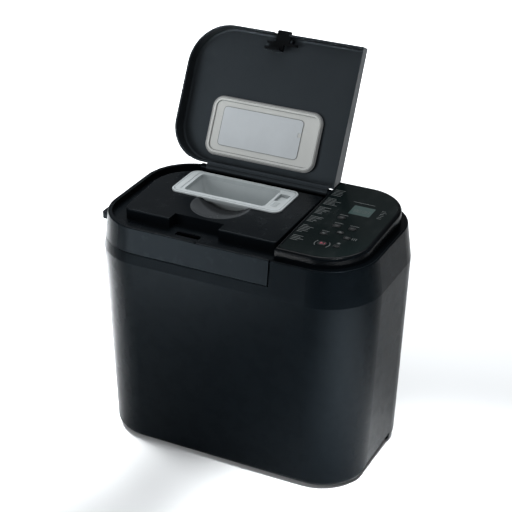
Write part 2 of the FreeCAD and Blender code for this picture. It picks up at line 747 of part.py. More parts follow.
def make_large_pulley():
    z0 = PULLEY_Z
    z1 = PULLEY_Z + PULLEY_H
    rim = cut(post(CHAMBER_X, 0, z0, z1, PULLEY_R),
              post(CHAMBER_X, 0, z0 - 1, z1 + 1, PULLEY_R - 5))
    lips = []
    for z in (z0, z1 - 1.2):
        bore = post(CHAMBER_X, 0, z - 1, z + 2, PULLEY_R - 1)
        lips.append(cut(post(CHAMBER_X, 0, z, z + 1.2, PULLEY_R + 2), bore))
    web = post(CHAMBER_X, 0, z0 + 5, z0 + 8, PULLEY_R - 4)
    hub = post(CHAMBER_X, 0, z0, z1, 10)
    pulley = fuse(rim, web, hub, *lips)
    for i in range(5):
        angle = math.radians(72 * i)
        x = CHAMBER_X + 25 * math.cos(angle)
        pulley = cut(pulley, post(x, 25 * math.sin(angle), z0, z1, 8.5))
    return cut(pulley, post(CHAMBER_X, 0, z0 - 1, z1 + 1, SHAFT_R))


def belt_solid(grow, z0, z1):
    """A flat loop that wraps both pulleys, drawn at their radii plus grow."""
    big = PULLEY_R + grow
    small = MOTOR_PULLEY_R + grow
    span = MOTOR_X - CHAMBER_X
    lean = math.acos((big - small) / span)
    top_big = vec(CHAMBER_X + big * math.cos(lean), big * math.sin(lean), z0)
    top_small = vec(MOTOR_X + small * math.cos(lean), small * math.sin(lean), z0)
    low_big = vec(top_big.x, -top_big.y, z0)
    low_small = vec(top_small.x, -top_small.y, z0)
    edges = [Part.LineSegment(top_big, top_small).toShape(),
             Part.Arc(top_small, vec(MOTOR_X + small, 0, z0), low_small).toShape(),
             Part.LineSegment(low_small, low_big).toShape(),
             Part.Arc(low_big, vec(CHAMBER_X - big, 0, z0), top_big).toShape()]
    return Part.Face(Part.Wire(edges)).extrude(vec(0, 0, z1 - z0))


def make_belt():
    z0 = PULLEY_Z + 2
    z1 = PULLEY_Z + PULLEY_H - 2
    return cut(belt_solid(BELT_GAP + BELT_T, z0, z1), belt_solid(BELT_GAP, z0 - 1, z1 + 1))


def make_motor_pulley():
    z0 = PULLEY_Z
    z1 = PULLEY_Z + PULLEY_H
    body = post(MOTOR_X, 0, z0, z1, MOTOR_PULLEY_R)
    lips = [post(MOTOR_X, 0, z, z + 1.2, MOTOR_PULLEY_R + 2.5) for z in (z0, z1 - 1.2)]
    return cut(fuse(body, *lips), post(MOTOR_X, 0, z0 - 1, z1 + 1, MOTOR_SHAFT_R))


def make_motor_rotor():
    core = post(MOTOR_X, 0, ROTOR_Z, ROTOR_TOP, ROTOR_R)
    return fuse(core, post(MOTOR_X, 0, PULLEY_Z - 2, ROTOR_TOP + 12, MOTOR_SHAFT_R))


def make_motor_stator():
    half = STATOR_W / 2
    core = block(MOTOR_X - half, MOTOR_X + half, -half, half, STATOR_Z, STATOR_Z + STATOR_H, 6)
    return cut(core, post(MOTOR_X, 0, STATOR_Z - 1, STATOR_Z + STATOR_H + 1, ROTOR_R + 0.5))


def make_motor_windings():
    rings = []
    for z in (STATOR_Z - 6, STATOR_Z + STATOR_H):
        ring = cut(post(MOTOR_X, 0, z, z + 6, 35), post(MOTOR_X, 0, z - 1, z + 7, 27))
        rings.append(ring)
    return group(rings)


def motor_bracket(plate_z, plate_t, post_z0, post_z1):
    half = STATOR_W / 2 + 4
    plate = block(MOTOR_X - half, MOTOR_X + half, -half, half, plate_z, plate_z + plate_t, 8)
    spots = [(x, y) for x in (-STAND_X, STAND_X) for y in (-STAND_X, STAND_X)]
    posts = [post(MOTOR_X + x, y, post_z0, post_z1, 3.5) for x, y in spots]
    boss = post(MOTOR_X, 0, plate_z, plate_z + 6, 10)
    bracket = fuse(plate, boss, *posts)
    return cut(bracket, post(MOTOR_X, 0, plate_z - 1, plate_z + 8, MOTOR_SHAFT_R + RUNNING))


def make_motor_brackets():
    """The bearing plates above and below the stator, on four posts each."""
    top = STATOR_Z + STATOR_H
    lower = motor_bracket(MOUNT_Z, 2.0, BEARING_Z, STATOR_Z)
    upper = motor_bracket(top + 7.0, 2.0, top, top + 7.0)
    return group([lower, upper])


def make_capacitor():
    can = post(MOTOR_X + 20, 62, BEARING_Z, BEARING_Z + 50, 15)
    return round_edges(can, 1.5, lambda b: b.ZMin > BEARING_Z + 49)


# ---------------------------------------------------------------- electrics
def make_heat_shield():
    """The upright sheet between the baking chamber and the motor bay, with a folded foot."""
    wall = block(SHIELD_X, SHIELD_X + SHEET, -80, 80, BEARING_Z, 285)
    foot = block(SHIELD_X, SHIELD_X + 12, -80, 80, BEARING_Z, BEARING_Z + SHEET)
    slot = block(SHIELD_X - 1, SHIELD_X + 14, -TERMINAL_Y - 10, TERMINAL_Y + 10,
                 HEATER_Z - 10, HEATER_Z + 10)
    return cut(fuse(wall, foot), slot)


def make_power_board():
    """The mains board on its spacers, with a relay, a transformer, a heat sink and a fuse."""
    x = BOARD_X + BOARD_T
    board = block(BOARD_X, x, -64, 44, 150, 236)
    spots = [(y, z) for y in (-58.0, 38.0) for z in (156.0, 230.0)]
    spacers = [rod_x(SHIELD_X + SHEET, BOARD_X, y, z, 3) for y, z in spots]
    relay = block(x, x + 18, -50, -22, 160, 180)
    transformer = block(x, x + 26, -14, 22, 168, 204)
    fins = [block(x, x + 18, -50 + 6.2 * i, -47 + 6.2 * i, 190, 226) for i in range(5)]
    heatsink = fuse(block(x, x + 3, -50, -22, 190, 226), *fins)
    fuse_holder = rod_y(-10, 14, x + 5.6, 222, 5)
    fuse_foot = block(x, x + 3, -8, 12, 219, 225)
    return fuse(board, *spacers, relay, transformer, heatsink, fuse_holder, fuse_foot)


def make_cord_gland():
    """The strain-relief bushing in the rear wall that the mains lead would leave by."""
    wall_y = BODY_D / 2 - inset_at(GLAND_Z)
    body = fuse(rod_y(wall_y - 9, wall_y + 4, GLAND_X, GLAND_Z, GLAND_R),
                rod_y(wall_y + 0.6, wall_y + 4, GLAND_X, GLAND_Z, GLAND_R + 3),
                rod_y(wall_y - 9, wall_y - WALL - 1.0, GLAND_X, GLAND_Z, GLAND_R + 2))
    return cut(body, rod_y(wall_y - 12, wall_y + 6, GLAND_X, GLAND_Z, CORD_R))


# ---------------------------------------------------------------- control panel
def panel_corners(inset):
    """The panel's outline, straight on the side that faces the lid."""
    half_w = BODY_W / 2 - inset
    half_d = BODY_D / 2 - inset
    left = PANEL_X0 + inset - PANEL_INSET
    return [(left, -half_d, 1.5), (half_w, -half_d, BODY_R - inset),
            (half_w, half_d, BODY_R - inset), (left, half_d, 1.5)]


def tilt(shape):
    """Moves a piece from the flat panel frame, where z = 0 is the panel's face, onto the slope."""
    shape.rotate(vec(0, 0, 0), vec(1, 0, 0), math.degrees(math.atan(PANEL_SLOPE)))
    shape.translate(vec(0, PANEL_FRONT_Y, PANEL_FRONT_Z))
    return shape


def local_y(y):
    """Distance up the panel's slope of a spot at depth y."""
    return (y - PANEL_FRONT_Y) / math.cos(math.atan(PANEL_SLOPE))


def above_panel(drop):
    """Everything above the panel's face, lowered by drop."""
    return tilt(block(-FAR, FAR, -FAR, FAR, -drop, FAR / 2))


def below_slope(corners, z0, drop):
    return cut(prism(corners, z0, FAR), above_panel(drop))


def button_hole(x, y, half_w, half_d, z0, z1, grow):
    s = local_y(y)
    radius = min(half_w, half_d) + grow - 0.05
    half_w += grow
    half_d += grow
    return block(x - half_w, x + half_w, s - half_d, s + half_d, z0, z1, radius)


def lcd_area(grow, z0, z1, radius=0.0):
    """The display's rectangle in the panel frame, grown outwards by grow."""
    s = local_y(LCD_Y)
    half_w = LCD_W / 2 + grow
    half_d = LCD_D / 2 + grow
    return block(LCD_X - half_w, LCD_X + half_w, s - half_d, s + half_d, z0, z1, radius)


def make_panel_block():
    block_z = RIM_Z - 4
    solid = below_slope(panel_corners(PANEL_INSET), block_z, 0)
    solid = round_edges(solid, PANEL_ROUND, lambda b: b.ZMin > RIM_Z + 5 and b.ZMax - b.ZMin < 10)
    inset = RIM_INSET + WALL + FIT
    right = BODY_W / 2 - inset
    half_d = BODY_D / 2 - inset
    radius = BODY_R - inset
    flange = prism([(PANEL_X0, -half_d, 1.5), (right, -half_d, radius),
                    (right, half_d, radius), (PANEL_X0, half_d, 1.5)], block_z, RIM_Z - 0.4)
    solid = fuse(solid, flange)
    hollow = below_slope(panel_corners(PANEL_INSET + PANEL_WALL), block_z - 1, PANEL_WALL)
    solid = cut(solid, hollow)
    side = block(PANEL_X0, PANEL_X0 + PANEL_WALL, -BODY_D / 2 + WALL + RIM_INSET + 0.6,
                 BODY_D / 2 - WALL - RIM_INSET - 0.6, APRON_Z, block_z + 1)
    solid = fuse(solid, side)
    # Pillars that carry the control board
    for x, y in BOARD_POSTS:
        s = local_y(y)
        pillar = tilt(block(x - 3.5, x + 3.5, s - 3.5, s + 3.5, -BOARD_DROP + BOARD_T, -PANEL_WALL + 0.5))
        hole = tilt(post(x, s, -BOARD_DROP, -PANEL_WALL - 1.5, SCREW_R))
        solid = cut(solid.fuse(pillar), hole)
    # Seat for the film, window and button openings
    film_seat = tilt(prism(film_corners(0.2), -FILM_T, 5))
    window = tilt(lcd_area(0.3, -8, 5, 1.8))
    solid = cut(solid, film_seat, window)
    for x, y, half_w, half_d in BUTTONS.values():
        solid = cut(solid, tilt(button_hole(x, y, half_w, half_d, -8, 5, 0.3)))
    return solid


def film_corners(grow):
    inset = PANEL_INSET + FILM_MARGIN - grow
    half_w = BODY_W / 2 - inset
    half_d = BODY_D / 2 - inset
    left = PANEL_X0 + FILM_MARGIN - grow
    low = local_y(-half_d)
    high = local_y(half_d)
    return [(left, low, 3.0), (half_w, low, BODY_R - inset),
            (half_w, high, BODY_R - inset), (left, high, 3.0)]


def make_panel_film():
    film = tilt(prism(film_corners(0), -FILM_T, 0))
    window = tilt(lcd_area(0, -3, 3, 1.5))
    film = cut(film, window)
    for x, y, half_w, half_d in BUTTONS.values():
        film = cut(film, tilt(button_hole(x, y, half_w, half_d, -3, 3, 0.3)))
    return film


def make_lcd_window():
    return tilt(lcd_area(-0.1, -1.6, 0, 1.4))


def lcd_block():
    """The display's glass and frame, flat in the panel frame."""
    glass = lcd_area(3, -BOARD_DROP + BOARD_T, -PANEL_WALL - 0.4)
    return fuse(glass, lcd_area(-0.6, -PANEL_WALL - 1, -1.7))


def make_control_board():
    """The board under the panel, with the display and one key switch below each button."""
    sheet = block(BOARD_X0, BOARD_X1, local_y(BOARD_Y0), local_y(BOARD_Y1),
                  -BOARD_DROP, -BOARD_DROP + BOARD_T, 5)
    board = fuse(sheet, lcd_block(), *key_switches())
    for x, y in BOARD_POSTS:
        board = cut(board, post(x, local_y(y), -BOARD_DROP - 1, -BOARD_DROP + BOARD_T + 1, SCREW_R + 0.2))
    return tilt(board)


def make_body_screws():
    """All the casing's screws: through the base plate, the deck and the control board."""
    screws = [screw_up(x, y, FOOT_H + 1.2, PLATE_T + 7) for x, y in BASE_SCREWS]
    screws += [screw_down(x, y, DECK_Z, 10) for x, y in DECK_SCREWS]
    screws += [tilt(screw_up(x, local_y(y), -BOARD_DROP, 8)) for x, y in BOARD_POSTS]
    return group(screws)


def key_switches():
    switches = []
    for x, y, _, _ in BUTTONS.values():
        s = local_y(y)
        foot = -BOARD_DROP + BOARD_T
        switches.append(block(x - 3, x + 3, s - 3, s + 3, foot, foot + SWITCH_H))
    return switches


def make_button(x, y, half_w, half_d):
    """A key cap with a retaining skirt under the panel and a stem above its switch."""
    cap = button_hole(x, y, half_w, half_d, -PANEL_WALL - 1, BUTTON_RISE, 0)
    cap = round_edges(cap, 0.6, lambda b: b.ZMin > BUTTON_RISE - 0.01)
    skirt = button_hole(x, y, half_w, half_d, -PANEL_WALL - 1.5, -PANEL_WALL - 0.4, 1.0)
    stem = post(x, local_y(y), STEM_Z, -PANEL_WALL, 1.6)
    return tilt(fuse(cap, skirt, stem))


# ---------------------------------------------------------------- main lid
def inner_platform():
    t = WALL
    return [(PLATFORM_X1 - t, PLATFORM_Y0 + t, 1.0), (PLATFORM_X1 - t, PLATFORM_Y1 - t, 1.0),
            (PLATFORM_X0 + t, PLATFORM_Y1 - t, 55.4), (PLATFORM_X0 + 11.7 + t, PLATFORM_Y0 + t, 7.4)]


def lid_region(z0, z1):
    """The part of the upper band that belongs to the lid, higher at the rear than elsewhere."""
    front = block(-FAR, LID_X1, -FAR, LID_REAR_Y, z0, z1)
    rear_z = max(z0, REAR_WALL_Z + LID_GAP)
    rear = block(-FAR, LID_X1, LID_REAR_Y, FAR, rear_z, z1)
    return front.fuse(rear)


def hollow_cutter(grow):
    """A shallow bowl, open to the tray, that lets a finger under the tray's front edge."""
    centre = vec(HOLLOW_X, HOLLOW_Y, PLATFORM_Z + HOLLOW_R - HOLLOW_DEPTH)
    bowl = Part.makeSphere(HOLLOW_R + grow, centre)
    half_w = HOLLOW_HALF_W + grow
    keep = block(HOLLOW_X - half_w, HOLLOW_X + half_w, -60, TRAY_Y0 + 6 + grow, 300, PLATFORM_Z + 1)
    return bowl.common(keep)


def tray_area(inset, z0, z1, radius):
    """The ingredient box's outline, drawn in by inset."""
    return block(TRAY_X0 + inset, TRAY_X1 - inset, TRAY_Y0 + inset, TRAY_Y1 - inset, z0, z1, radius)


def make_lid_shell():
    band = cut(body_solid(0, APRON_Z, RIM_Z), body_solid(WALL, APRON_Z - 1, RIM_Z + 1))
    rim_x = -BODY_W / 2 + RIM_INSET + 1
    band = round_edges(band, RIM_ROUND, lambda b: b.ZMin > RIM_Z - 0.01 and b.XMin < rim_x)
    band = band.common(lid_region(APRON_Z, RIM_Z))
    floor_z = CHANNEL_Z - CHANNEL_T
    ring = cut(body_solid(WALL - 0.2, floor_z, RIM_Z - 0.3), body_solid(RING_W, floor_z - 1, RIM_Z + 1))
    ring = ring.common(lid_region(floor_z, FAR))
    floor = body_solid(RING_W - 0.2, floor_z, CHANNEL_Z).common(block(-FAR, LID_X1, -FAR, FAR, 0, FAR))
    raised = prism(PLATFORM, floor_z, PLATFORM_Z)
    raised = round_edges(raised, 1.6, lambda b: b.ZMin > PLATFORM_Z - 0.01)
    hollow = prism(inner_platform(), floor_z - 1, PLATFORM_Z - WALL)
    # Latch recess in the platform's front, with its own walls inside the hollow
    recess_y = PLATFORM_Y0 + RECESS_DEPTH
    recess_walls = block(RECESS_X0 - WALL, RECESS_X1 + WALL, PLATFORM_Y0 + 1, recess_y + WALL,
                         floor_z, PLATFORM_Z - 1)
    recess = block(RECESS_X0, RECESS_X1, PLATFORM_Y0 - 5, recess_y, CHANNEL_Z, PLATFORM_Z + 5)
    bowl_wall = hollow_cutter(WALL).common(prism(PLATFORM, floor_z, PLATFORM_Z - 1))
    end_wall = block(LID_X1 - WALL, LID_X1, -BODY_D / 2 + 8.6, LID_REAR_Y - 1,
                     APRON_Z + 3, floor_z + 1)
    tray_walls = tray_area(1, PLATFORM_Z - 12, PLATFORM_Z - 1, TRAY_R)
    # The floor is open under the platform; the raised part is a shell over that opening
    platform = cut(raised, hollow)
    platform = platform.fuse([recess_walls, bowl_wall, tray_walls])
    base = cut(fuse(band, ring, floor, end_wall), hollow)
    lid = base.fuse(platform)
    lid = cut(
        lid, recess, hollow_cutter(0),
        tray_area(3.5, 280, PLATFORM_Z + 1, TRAY_R - 3),
        block(SLOT_X0, SLOT_X1, SLOT_Y0, SLOT_Y1, floor_z - 1, CHANNEL_Z + 1, 2))
    # Small arrow-shaped notch in the front rim, beside the latch
    front = -BODY_D / 2
    z = RIM_Z - 1.2
    arrow = Part.Face(Part.makePolygon([vec(-37, front + 5, z), vec(-31, front + 5, z),
                                        vec(-34, front + 10.5, z), vec(-37, front + 5, z)]))
    lid = cut(lid, arrow.extrude(vec(0, 0, 5)))
    lid = lid.fuse(lid_hinge_parts() + [cover_post(x0, x1) for x0, x1 in COVER_POSTS] + [side_grip()])
    for x0, x1 in COVER_POSTS:
        lid = cut(lid, rod_x(x0 - 1, x1 + 1, COVER_HINGE_Y, COVER_HINGE_Z, COVER_PIN_R))
    for x in LID_HINGE_X:
        lid = cut(lid, rod_x(x - LID_KNUCKLE_W, x + LID_KNUCKLE_W, LID_HINGE_Y, LID_HINGE_Z,
                             LID_PIN_R + RUNNING))
    # Steam outlet slots at the rear left of the channel
    for i in range(7):
        x = -122.0 + 6.0 * i
        lid = cut(lid, block(x, x + 2.6, PLATFORM_Y1 + 4, PLATFORM_Y1 + 12, floor_z - 1, CHANNEL_Z + 1))
    for x, y in LID_SCREWS:
        top = PLATFORM_Z - 1 if x > 0 else CHANNEL_Z - 1
        lid = lid.fuse(cut(post(x, y, UNDER_Z + UNDER_T, top, 3.6),
                           post(x, y, UNDER_Z, UNDER_Z + UNDER_T + 9, SCREW_R)))
    return lid.removeSplitter()


def lid_hinge_parts():
    knuckles = []
    for x in LID_HINGE_X:
        x0 = x - LID_KNUCKLE_W / 2
        x1 = x + LID_KNUCKLE_W / 2
        web = block(x0, x1, BODY_D / 2 - 9, LID_HINGE_Y, LID_HINGE_Z - 3.5, RIM_Z - 0.8)
        knuckles += [web, rod_x(x0, x1, LID_HINGE_Y, LID_HINGE_Z, LID_BARREL_R)]
    return knuckles


def cover_post(x0, x1):
    """One of the two upright ears in the channel that hold the ends of the cover's hinge pin."""
    ear = block(x0, x1, COVER_HINGE_Y - COVER_BARREL_R, COVER_HINGE_Y + COVER_BARREL_R,
                CHANNEL_Z - 0.5, COVER_HINGE_Z)
    return ear.fuse(rod_x(x0, x1, COVER_HINGE_Y, COVER_HINGE_Z, COVER_BARREL_R))


def side_grip():
    """The lip on the lid's left side that a hand lifts."""
    wall = BODY_W / 2 - inset_at(GRIP_TAB_Z)
    tab = block(-wall - 11, -wall + 2, -60, 60, GRIP_TAB_Z - 4, GRIP_TAB_Z + 6, 6)
    tab = round_edges(tab, 2.4, lambda b: b.ZMin > GRIP_TAB_Z + 5.9)
    return cut(tab, block(-wall - 8.6, -wall - 0.4, -57, 57, GRIP_TAB_Z - 6, GRIP_TAB_Z + 3.4, 3))


def make_lid_under_frame():
    """The plastic ring that closes the lid's underside around the chamber mouth."""
    frame = body_solid(WALL + FIT, UNDER_Z, UNDER_Z + UNDER_T)
    frame = frame.common(block(-FAR, LID_X1 - WALL - FIT, -FAR, LID_REAR_Y - 1.5, 0, FAR))
    mouth = block(*chamber_box(-6), UNDER_Z - 1, UNDER_Z + UNDER_T + 1, CHAMBER_R - 6)
    frame = cut(frame, mouth)
    for x, y in LID_SCREWS:
        frame = cut(frame, post(x, y, UNDER_Z - 1, UNDER_Z + UNDER_T + 1, SCREW_R + 0.2))
    return frame


def make_lid_screws():
    return group([screw_up(x, y, UNDER_Z, UNDER_T + 8) for x, y in LID_SCREWS])


def make_lid_liner():
    """The bright sheet inside the lid: a flange on the frame and a dish that stands up from it."""
    z = UNDER_Z + UNDER_T
    sheet = block(*chamber_box(0), z, z + SHEET, CHAMBER_R)
    bead = cut(block(*chamber_box(-9), z - 1.4, z + SHEET, CHAMBER_R - 9),
               block(*chamber_box(-11.5), z - 2, z + SHEET + 1, CHAMBER_R - 11.5))
    liner = fuse(sheet, bead)
    outlet = block(HOPPER_X0 + 9, HOPPER_X1 + 3, HOPPER_Y0 + 3, FLAP_HINGE_Y + 5, z - 2, z + 2, 3)
    liner = cut(liner, outlet)
    for i in range(7):
        x = -128.0 + 6.0 * i
        liner = cut(liner, block(x, x + 2.6, -60, -48, z - 1, z + 2))
    for x, y in LID_SCREWS:
        liner = cut(liner, post(x, y, z - 1, z + 2, 4.0))
    return liner


def make_lid_seal():
    outer = block(*chamber_box(5), DECK_Z - 0.4, UNDER_Z, CHAMBER_R + 5)
    inner = block(*chamber_box(1), DECK_Z - 1, UNDER_Z + 1, CHAMBER_R + 1)
    return cut(outer, inner)


def make_lid_pins():
    """Steel pins pressed into the casing lugs; the lid's knuckles turn on them."""
    half = LID_KNUCKLE_W / 2 + FIT + LID_LUG_W
    return group([rod_x(x - half, x + half, LID_HINGE_Y, LID_HINGE_Z, LID_PIN_R) for x in LID_HINGE_X])


# ---------------------------------------------------------------- dispenser
def hopper_corners(grow, drawn):
    """The hopper's outline: at the mouth when drawn is 0, at its foot when drawn is 1."""
    dx = HOPPER_DRAFT_X * drawn
    dy = HOPPER_DRAFT_Y * drawn
    return rectangle(HOPPER_X0 + dx - grow, HOPPER_X1 - dx * 0.4 + grow, HOPPER_Y0 + dy - grow,
                     HOPPER_Y1 - dy + grow, 5.0 + grow)


def make_dispenser_tray():
    """The removable ingredient box: a rounded frame with a tapered hopper below it."""
    rim = tray_area(0, PLATFORM_Z + 0.2, TRAY_TOP, TRAY_R)
    rim = round_edges(rim, 1.2, lambda b: b.ZMin > TRAY_TOP - 0.01)
    plug = tray_area(4, PLATFORM_Z - 5, PLATFORM_Z + 1, TRAY_R - 3.5)
    outer = loft(hopper_corners(HOPPER_T, 1), HOPPER_Z, hopper_corners(HOPPER_T, 0), PLATFORM_Z - 4.5)
    inner = loft(hopper_corners(0, 1), HOPPER_Z, hopper_corners(0, 0), PLATFORM_Z - 4.5)
    tray = fuse(rim, plug, outer)
    tray = cut(tray, inner, prism(hopper_corners(0, 0), PLATFORM_Z - 4.6, TRAY_TOP + 1))
    # A shallow step around the mouth and the well that the catch slides in
    step = block(HOPPER_X0 - 5, HOPPER_X1 + 22, HOPPER_Y0 - 4, HOPPER_Y1 + 1.5,
                 TRAY_TOP - 0.8, TRAY_TOP + 1, 5)
    well = block(WINDOW_X0, WINDOW_X1, CATCH_Y0 - 0.3, WINDOW_Y1, PLATFORM_Z - 3, TRAY_TOP + 1, 1.5)
    tray = cut(tray, step, well)
    # Ears under the hopper that hold the flap's pins
    for x in (HOPPER_X0 + HOPPER_DRAFT_X + 2, HOPPER_X1 - HOPPER_DRAFT_X * 0.4 - 5):
        ear = block(x, x + 3, FLAP_HINGE_Y - 3.2, FLAP_HINGE_Y + 3.2, FLAP_HINGE_Z, HOPPER_Z + 5)
        ear = ear.fuse(rod_x(x, x + 3, FLAP_HINGE_Y, FLAP_HINGE_Z, 3.2))
        tray = tray.fuse(cut(ear, inner))
    tray = cut(tray, rod_x(HOPPER_X0, HOPPER_X1, FLAP_HINGE_Y, FLAP_HINGE_Z, FLAP_PIN_R))
    return tray.removeSplitter()


def make_dispenser_flap():
    """The trap door under the hopper, hinged along its rear edge."""
    top = HOPPER_Z - 0.4
    plate = block(HOPPER_X0 + HOPPER_DRAFT_X - 1.5, HOPPER_X1 - HOPPER_DRAFT_X * 0.4 + 1.5,
                  HOPPER_Y0 + HOPPER_DRAFT_Y - 1.5, FLAP_HINGE_Y - 3.6, top - FLAP_T, top, 2)
    barrel = rod_x(FLAP_X0, FLAP_X1, FLAP_HINGE_Y, FLAP_HINGE_Z, 2.6)
    arm = block(FLAP_X0, FLAP_X1, FLAP_HINGE_Y - 5, FLAP_HINGE_Y, FLAP_HINGE_Z - 2.0, FLAP_HINGE_Z - 0.2)
    # An upright finger at the right-hand end, which the solenoid's nose holds
    tongue = block(FINGER_X0 - 4, FINGER_X1, SOLENOID_Y - 4, SOLENOID_Y + 4, top - FLAP_T, top)
    finger = block(FINGER_X0, FINGER_X1, SOLENOID_Y - 4, SOLENOID_Y + 4, top - FLAP_T, SOLENOID_Z + 2)
    flap = fuse(plate, barrel, arm, tongue, finger)
    bore = rod_x(FLAP_X0 - 1, FLAP_X1 + 1, FLAP_HINGE_Y, FLAP_HINGE_Z, FLAP_PIN_R + RUNNING)
    return cut(flap, bore)


def make_lid_top_pins():
    """Two steel pins held by the lid's own pieces: one for the cover and one for the flap."""
    left = COVER_POSTS[0][0]
    right = COVER_POSTS[1][1]
    cover_pin = rod_x(left, right, COVER_HINGE_Y, COVER_HINGE_Z, COVER_PIN_R)
    x0 = HOPPER_X0 + HOPPER_DRAFT_X + 2
    flap_pin = rod_x(x0, HOPPER_X1 - HOPPER_DRAFT_X * 0.4 - 2, FLAP_HINGE_Y, FLAP_HINGE_Z, FLAP_PIN_R)
    return group([cover_pin, flap_pin])


def make_dispenser_catch():
    """The small slide at the right-hand end that frees the box."""
    catch = block(WINDOW_X0 + 0.3, WINDOW_X1 - 0.3, CATCH_Y0, CATCH_Y1,
                  PLATFORM_Z - 2.8, TRAY_TOP - 0.9, 1.2)
    for i in range(4):
        y = CATCH_Y0 + 5 + 4 * i
        rib = block(WINDOW_X0 + 3, WINDOW_X1 - 3, y, y + 1.4, TRAY_TOP - 1, TRAY_TOP - 0.3)
        catch = fuse(catch, rib)
    return catch


def make_solenoid():
    x = SOLENOID_X
    y = SOLENOID_Y
    z = SOLENOID_Z
    coil = rod_x(x, x + 20, y, z, 7.5)
    yoke = cut(block(x - 1.5, x + 21.5, y - 9, y + 9, z - 9, z + 7),
               block(x, x + 20, y - 10, y + 10, z - 7.6, z + 8))
    return cut(fuse(coil, yoke), rod_x(x - 3, x + 24, y, z, PLUNGER_R + 0.08))


def make_plunger():
    """The sprung plunger, its nose just clear of the flap's finger."""
    rod = rod_x(FINGER_X1 + NOSE_GAP, SOLENOID_X + 16, SOLENOID_Y, SOLENOID_Z, PLUNGER_R)
    return fuse(rod, rod_x(SOLENOID_X - 12, SOLENOID_X - 9, SOLENOID_Y, SOLENOID_Z, PLUNGER_R + 1.6))


# ---------------------------------------------------------------- ingredient cover
def cover_corners(inset):
    return [(COVER_X0 + inset, COVER_Y0 + inset, COVER_R - inset),
            (COVER_X1 - inset, COVER_Y0 + inset, 0.0),
            (COVER_X1 - inset, COVER_Y1 - inset, 0.0),
            (COVER_X0 + inset, COVER_Y1 - inset, COVER_REAR_R - inset)]


def raise_cover(shape):
    """Swings a piece of the closed cover up and back to where it stands open."""
    shape.rotate(vec(0, COVER_HINGE_Y, COVER_HINGE_Z), vec(1, 0, 0), -COVER_OPEN)
    return shape


def make_cover_shell():
    outer = below_slope(cover_corners(0), COVER_SKIRT_Z, 0)
    outer = round_edges(outer, COVER_ROUND, lambda b: b.ZMin > RIM_Z + 8 and b.ZMax - b.ZMin < 10)
    inner = below_slope(cover_corners(COVER_T), COVER_SKIRT_Z - 1, COVER_T)
    inner_round = COVER_ROUND - COVER_T
    inner = round_edges(inner, inner_round, lambda b: b.ZMin > RIM_Z + 6 and b.ZMax - b.ZMin < 10)
    shell = cut(outer, inner)
    # A shorter skirt behind, so that it swings clear of the platform
    shell = cut(shell, block(-FAR, FAR, COVER_Y1 - 31, FAR, COVER_SKIRT_Z - 1, COVER_SKIRT_Z + 3).common(
        block(-FAR, COVER_X1 - COVER_T - 1, COVER_Y1 - COVER_T - 1, FAR, 0, FAR)))
    leaf = block(COVER_LEAF_X0, COVER_LEAF_X1, COVER_Y1 - COVER_T, COVER_HINGE_Y,
                 COVER_HINGE_Z - 3.5, COVER_HINGE_Z + 3.5)
    barrel = rod_x(COVER_LEAF_X0, COVER_LEAF_X1, COVER_HINGE_Y, COVER_HINGE_Z, COVER_BARREL_R)
    # A stiffening rib inside the right-hand skirt and ears for the latch pin
    rib = block(COVER_X1 - COVER_T - 3.2, COVER_X1 - COVER_T - 2.0, COVER_Y0 + 6, COVER_Y1 - 8, 341, 352)
    rib = rib.common(below_slope(cover_corners(COVER_T), 330, 1))
    shell = shell.fuse([leaf, barrel, rib] + [latch_ear(x) for x in (LATCH_X0 - 3.3, LATCH_X1 + 0.8)])
    shell = cut(
        shell,
        rod_x(COVER_LEAF_X0 - 1, COVER_LEAF_X1 + 1, COVER_HINGE_Y, COVER_HINGE_Z, COVER_PIN_R + RUNNING),
        rod_x(LATCH_X0 - 6, LATCH_X1 + 6, LATCH_Y, LATCH_Z, LATCH_PIN_R),
        block(LATCH_X0 - 0.8, LATCH_X1 + 0.8, COVER_Y0 - 5, COVER_Y0 + COVER_T + 1,
              COVER_SKIRT_Z - 1, LATCH_Z + 2.6))
    return raise_cover(shell.removeSplitter())


def latch_ear(x):
    ear = block(x, x + 2.5, LATCH_Y - 3, LATCH_Y + 3, LATCH_Z, LATCH_Z + 12)
    ear = ear.fuse(rod_x(x, x + 2.5, LATCH_Y, LATCH_Z, 3))
    return ear.common(below_slope(cover_corners(COVER_T), 330, 1))


def pad_area(grow, z0, z1):
    """The pad's outline, grown outwards by grow."""
    return block(PAD_X0 - grow, PAD_X1 + grow, PAD_Y0 - grow, PAD_Y1 + grow, z0, z1, PAD_R + grow)


def make_cover_pad():
    """The pale cap under the cover that closes the ingredient box, with a raised lip."""
    pad = below_slope(rectangle(PAD_X0, PAD_X1, PAD_Y0, PAD_Y1, PAD_R), PAD_Z, COVER_T)
    pad = round_edges(pad, 2.2, lambda b: b.ZMax < PAD_Z + 0.01)
    tray = pad_area(-PAD_LIP_W, PAD_Z - 1, PAD_Z + PAD_RECESS)
    return raise_cover(cut(pad, tray))


def make_pad_plate():
    """The cooler grey cover plate set into the pad."""
    x0, x1, y0, y1 = PLATE_BOX
    plate = block(x0, x1, y0, y1, PAD_Z + PAD_RECESS - PAD_PLATE_T, PAD_Z + PAD_RECESS, 5)
    notch = block(x1 - 5, x1 + 1, 25, 31, PAD_Z - 1, PAD_Z + PAD_RECESS + 1)
    return raise_cover(cut(plate, notch))


def make_pad_gasket():
    """The soft strip around the pad that presses on the ingredient box."""
    outer = pad_area(1.4, PAD_Z + 3.2, PAD_Z + 5.0)
    inner = pad_area(0, PAD_Z, PAD_Z + 6)
    strip = cut(outer, inner, above_panel(COVER_T))
    return raise_cover(strip)


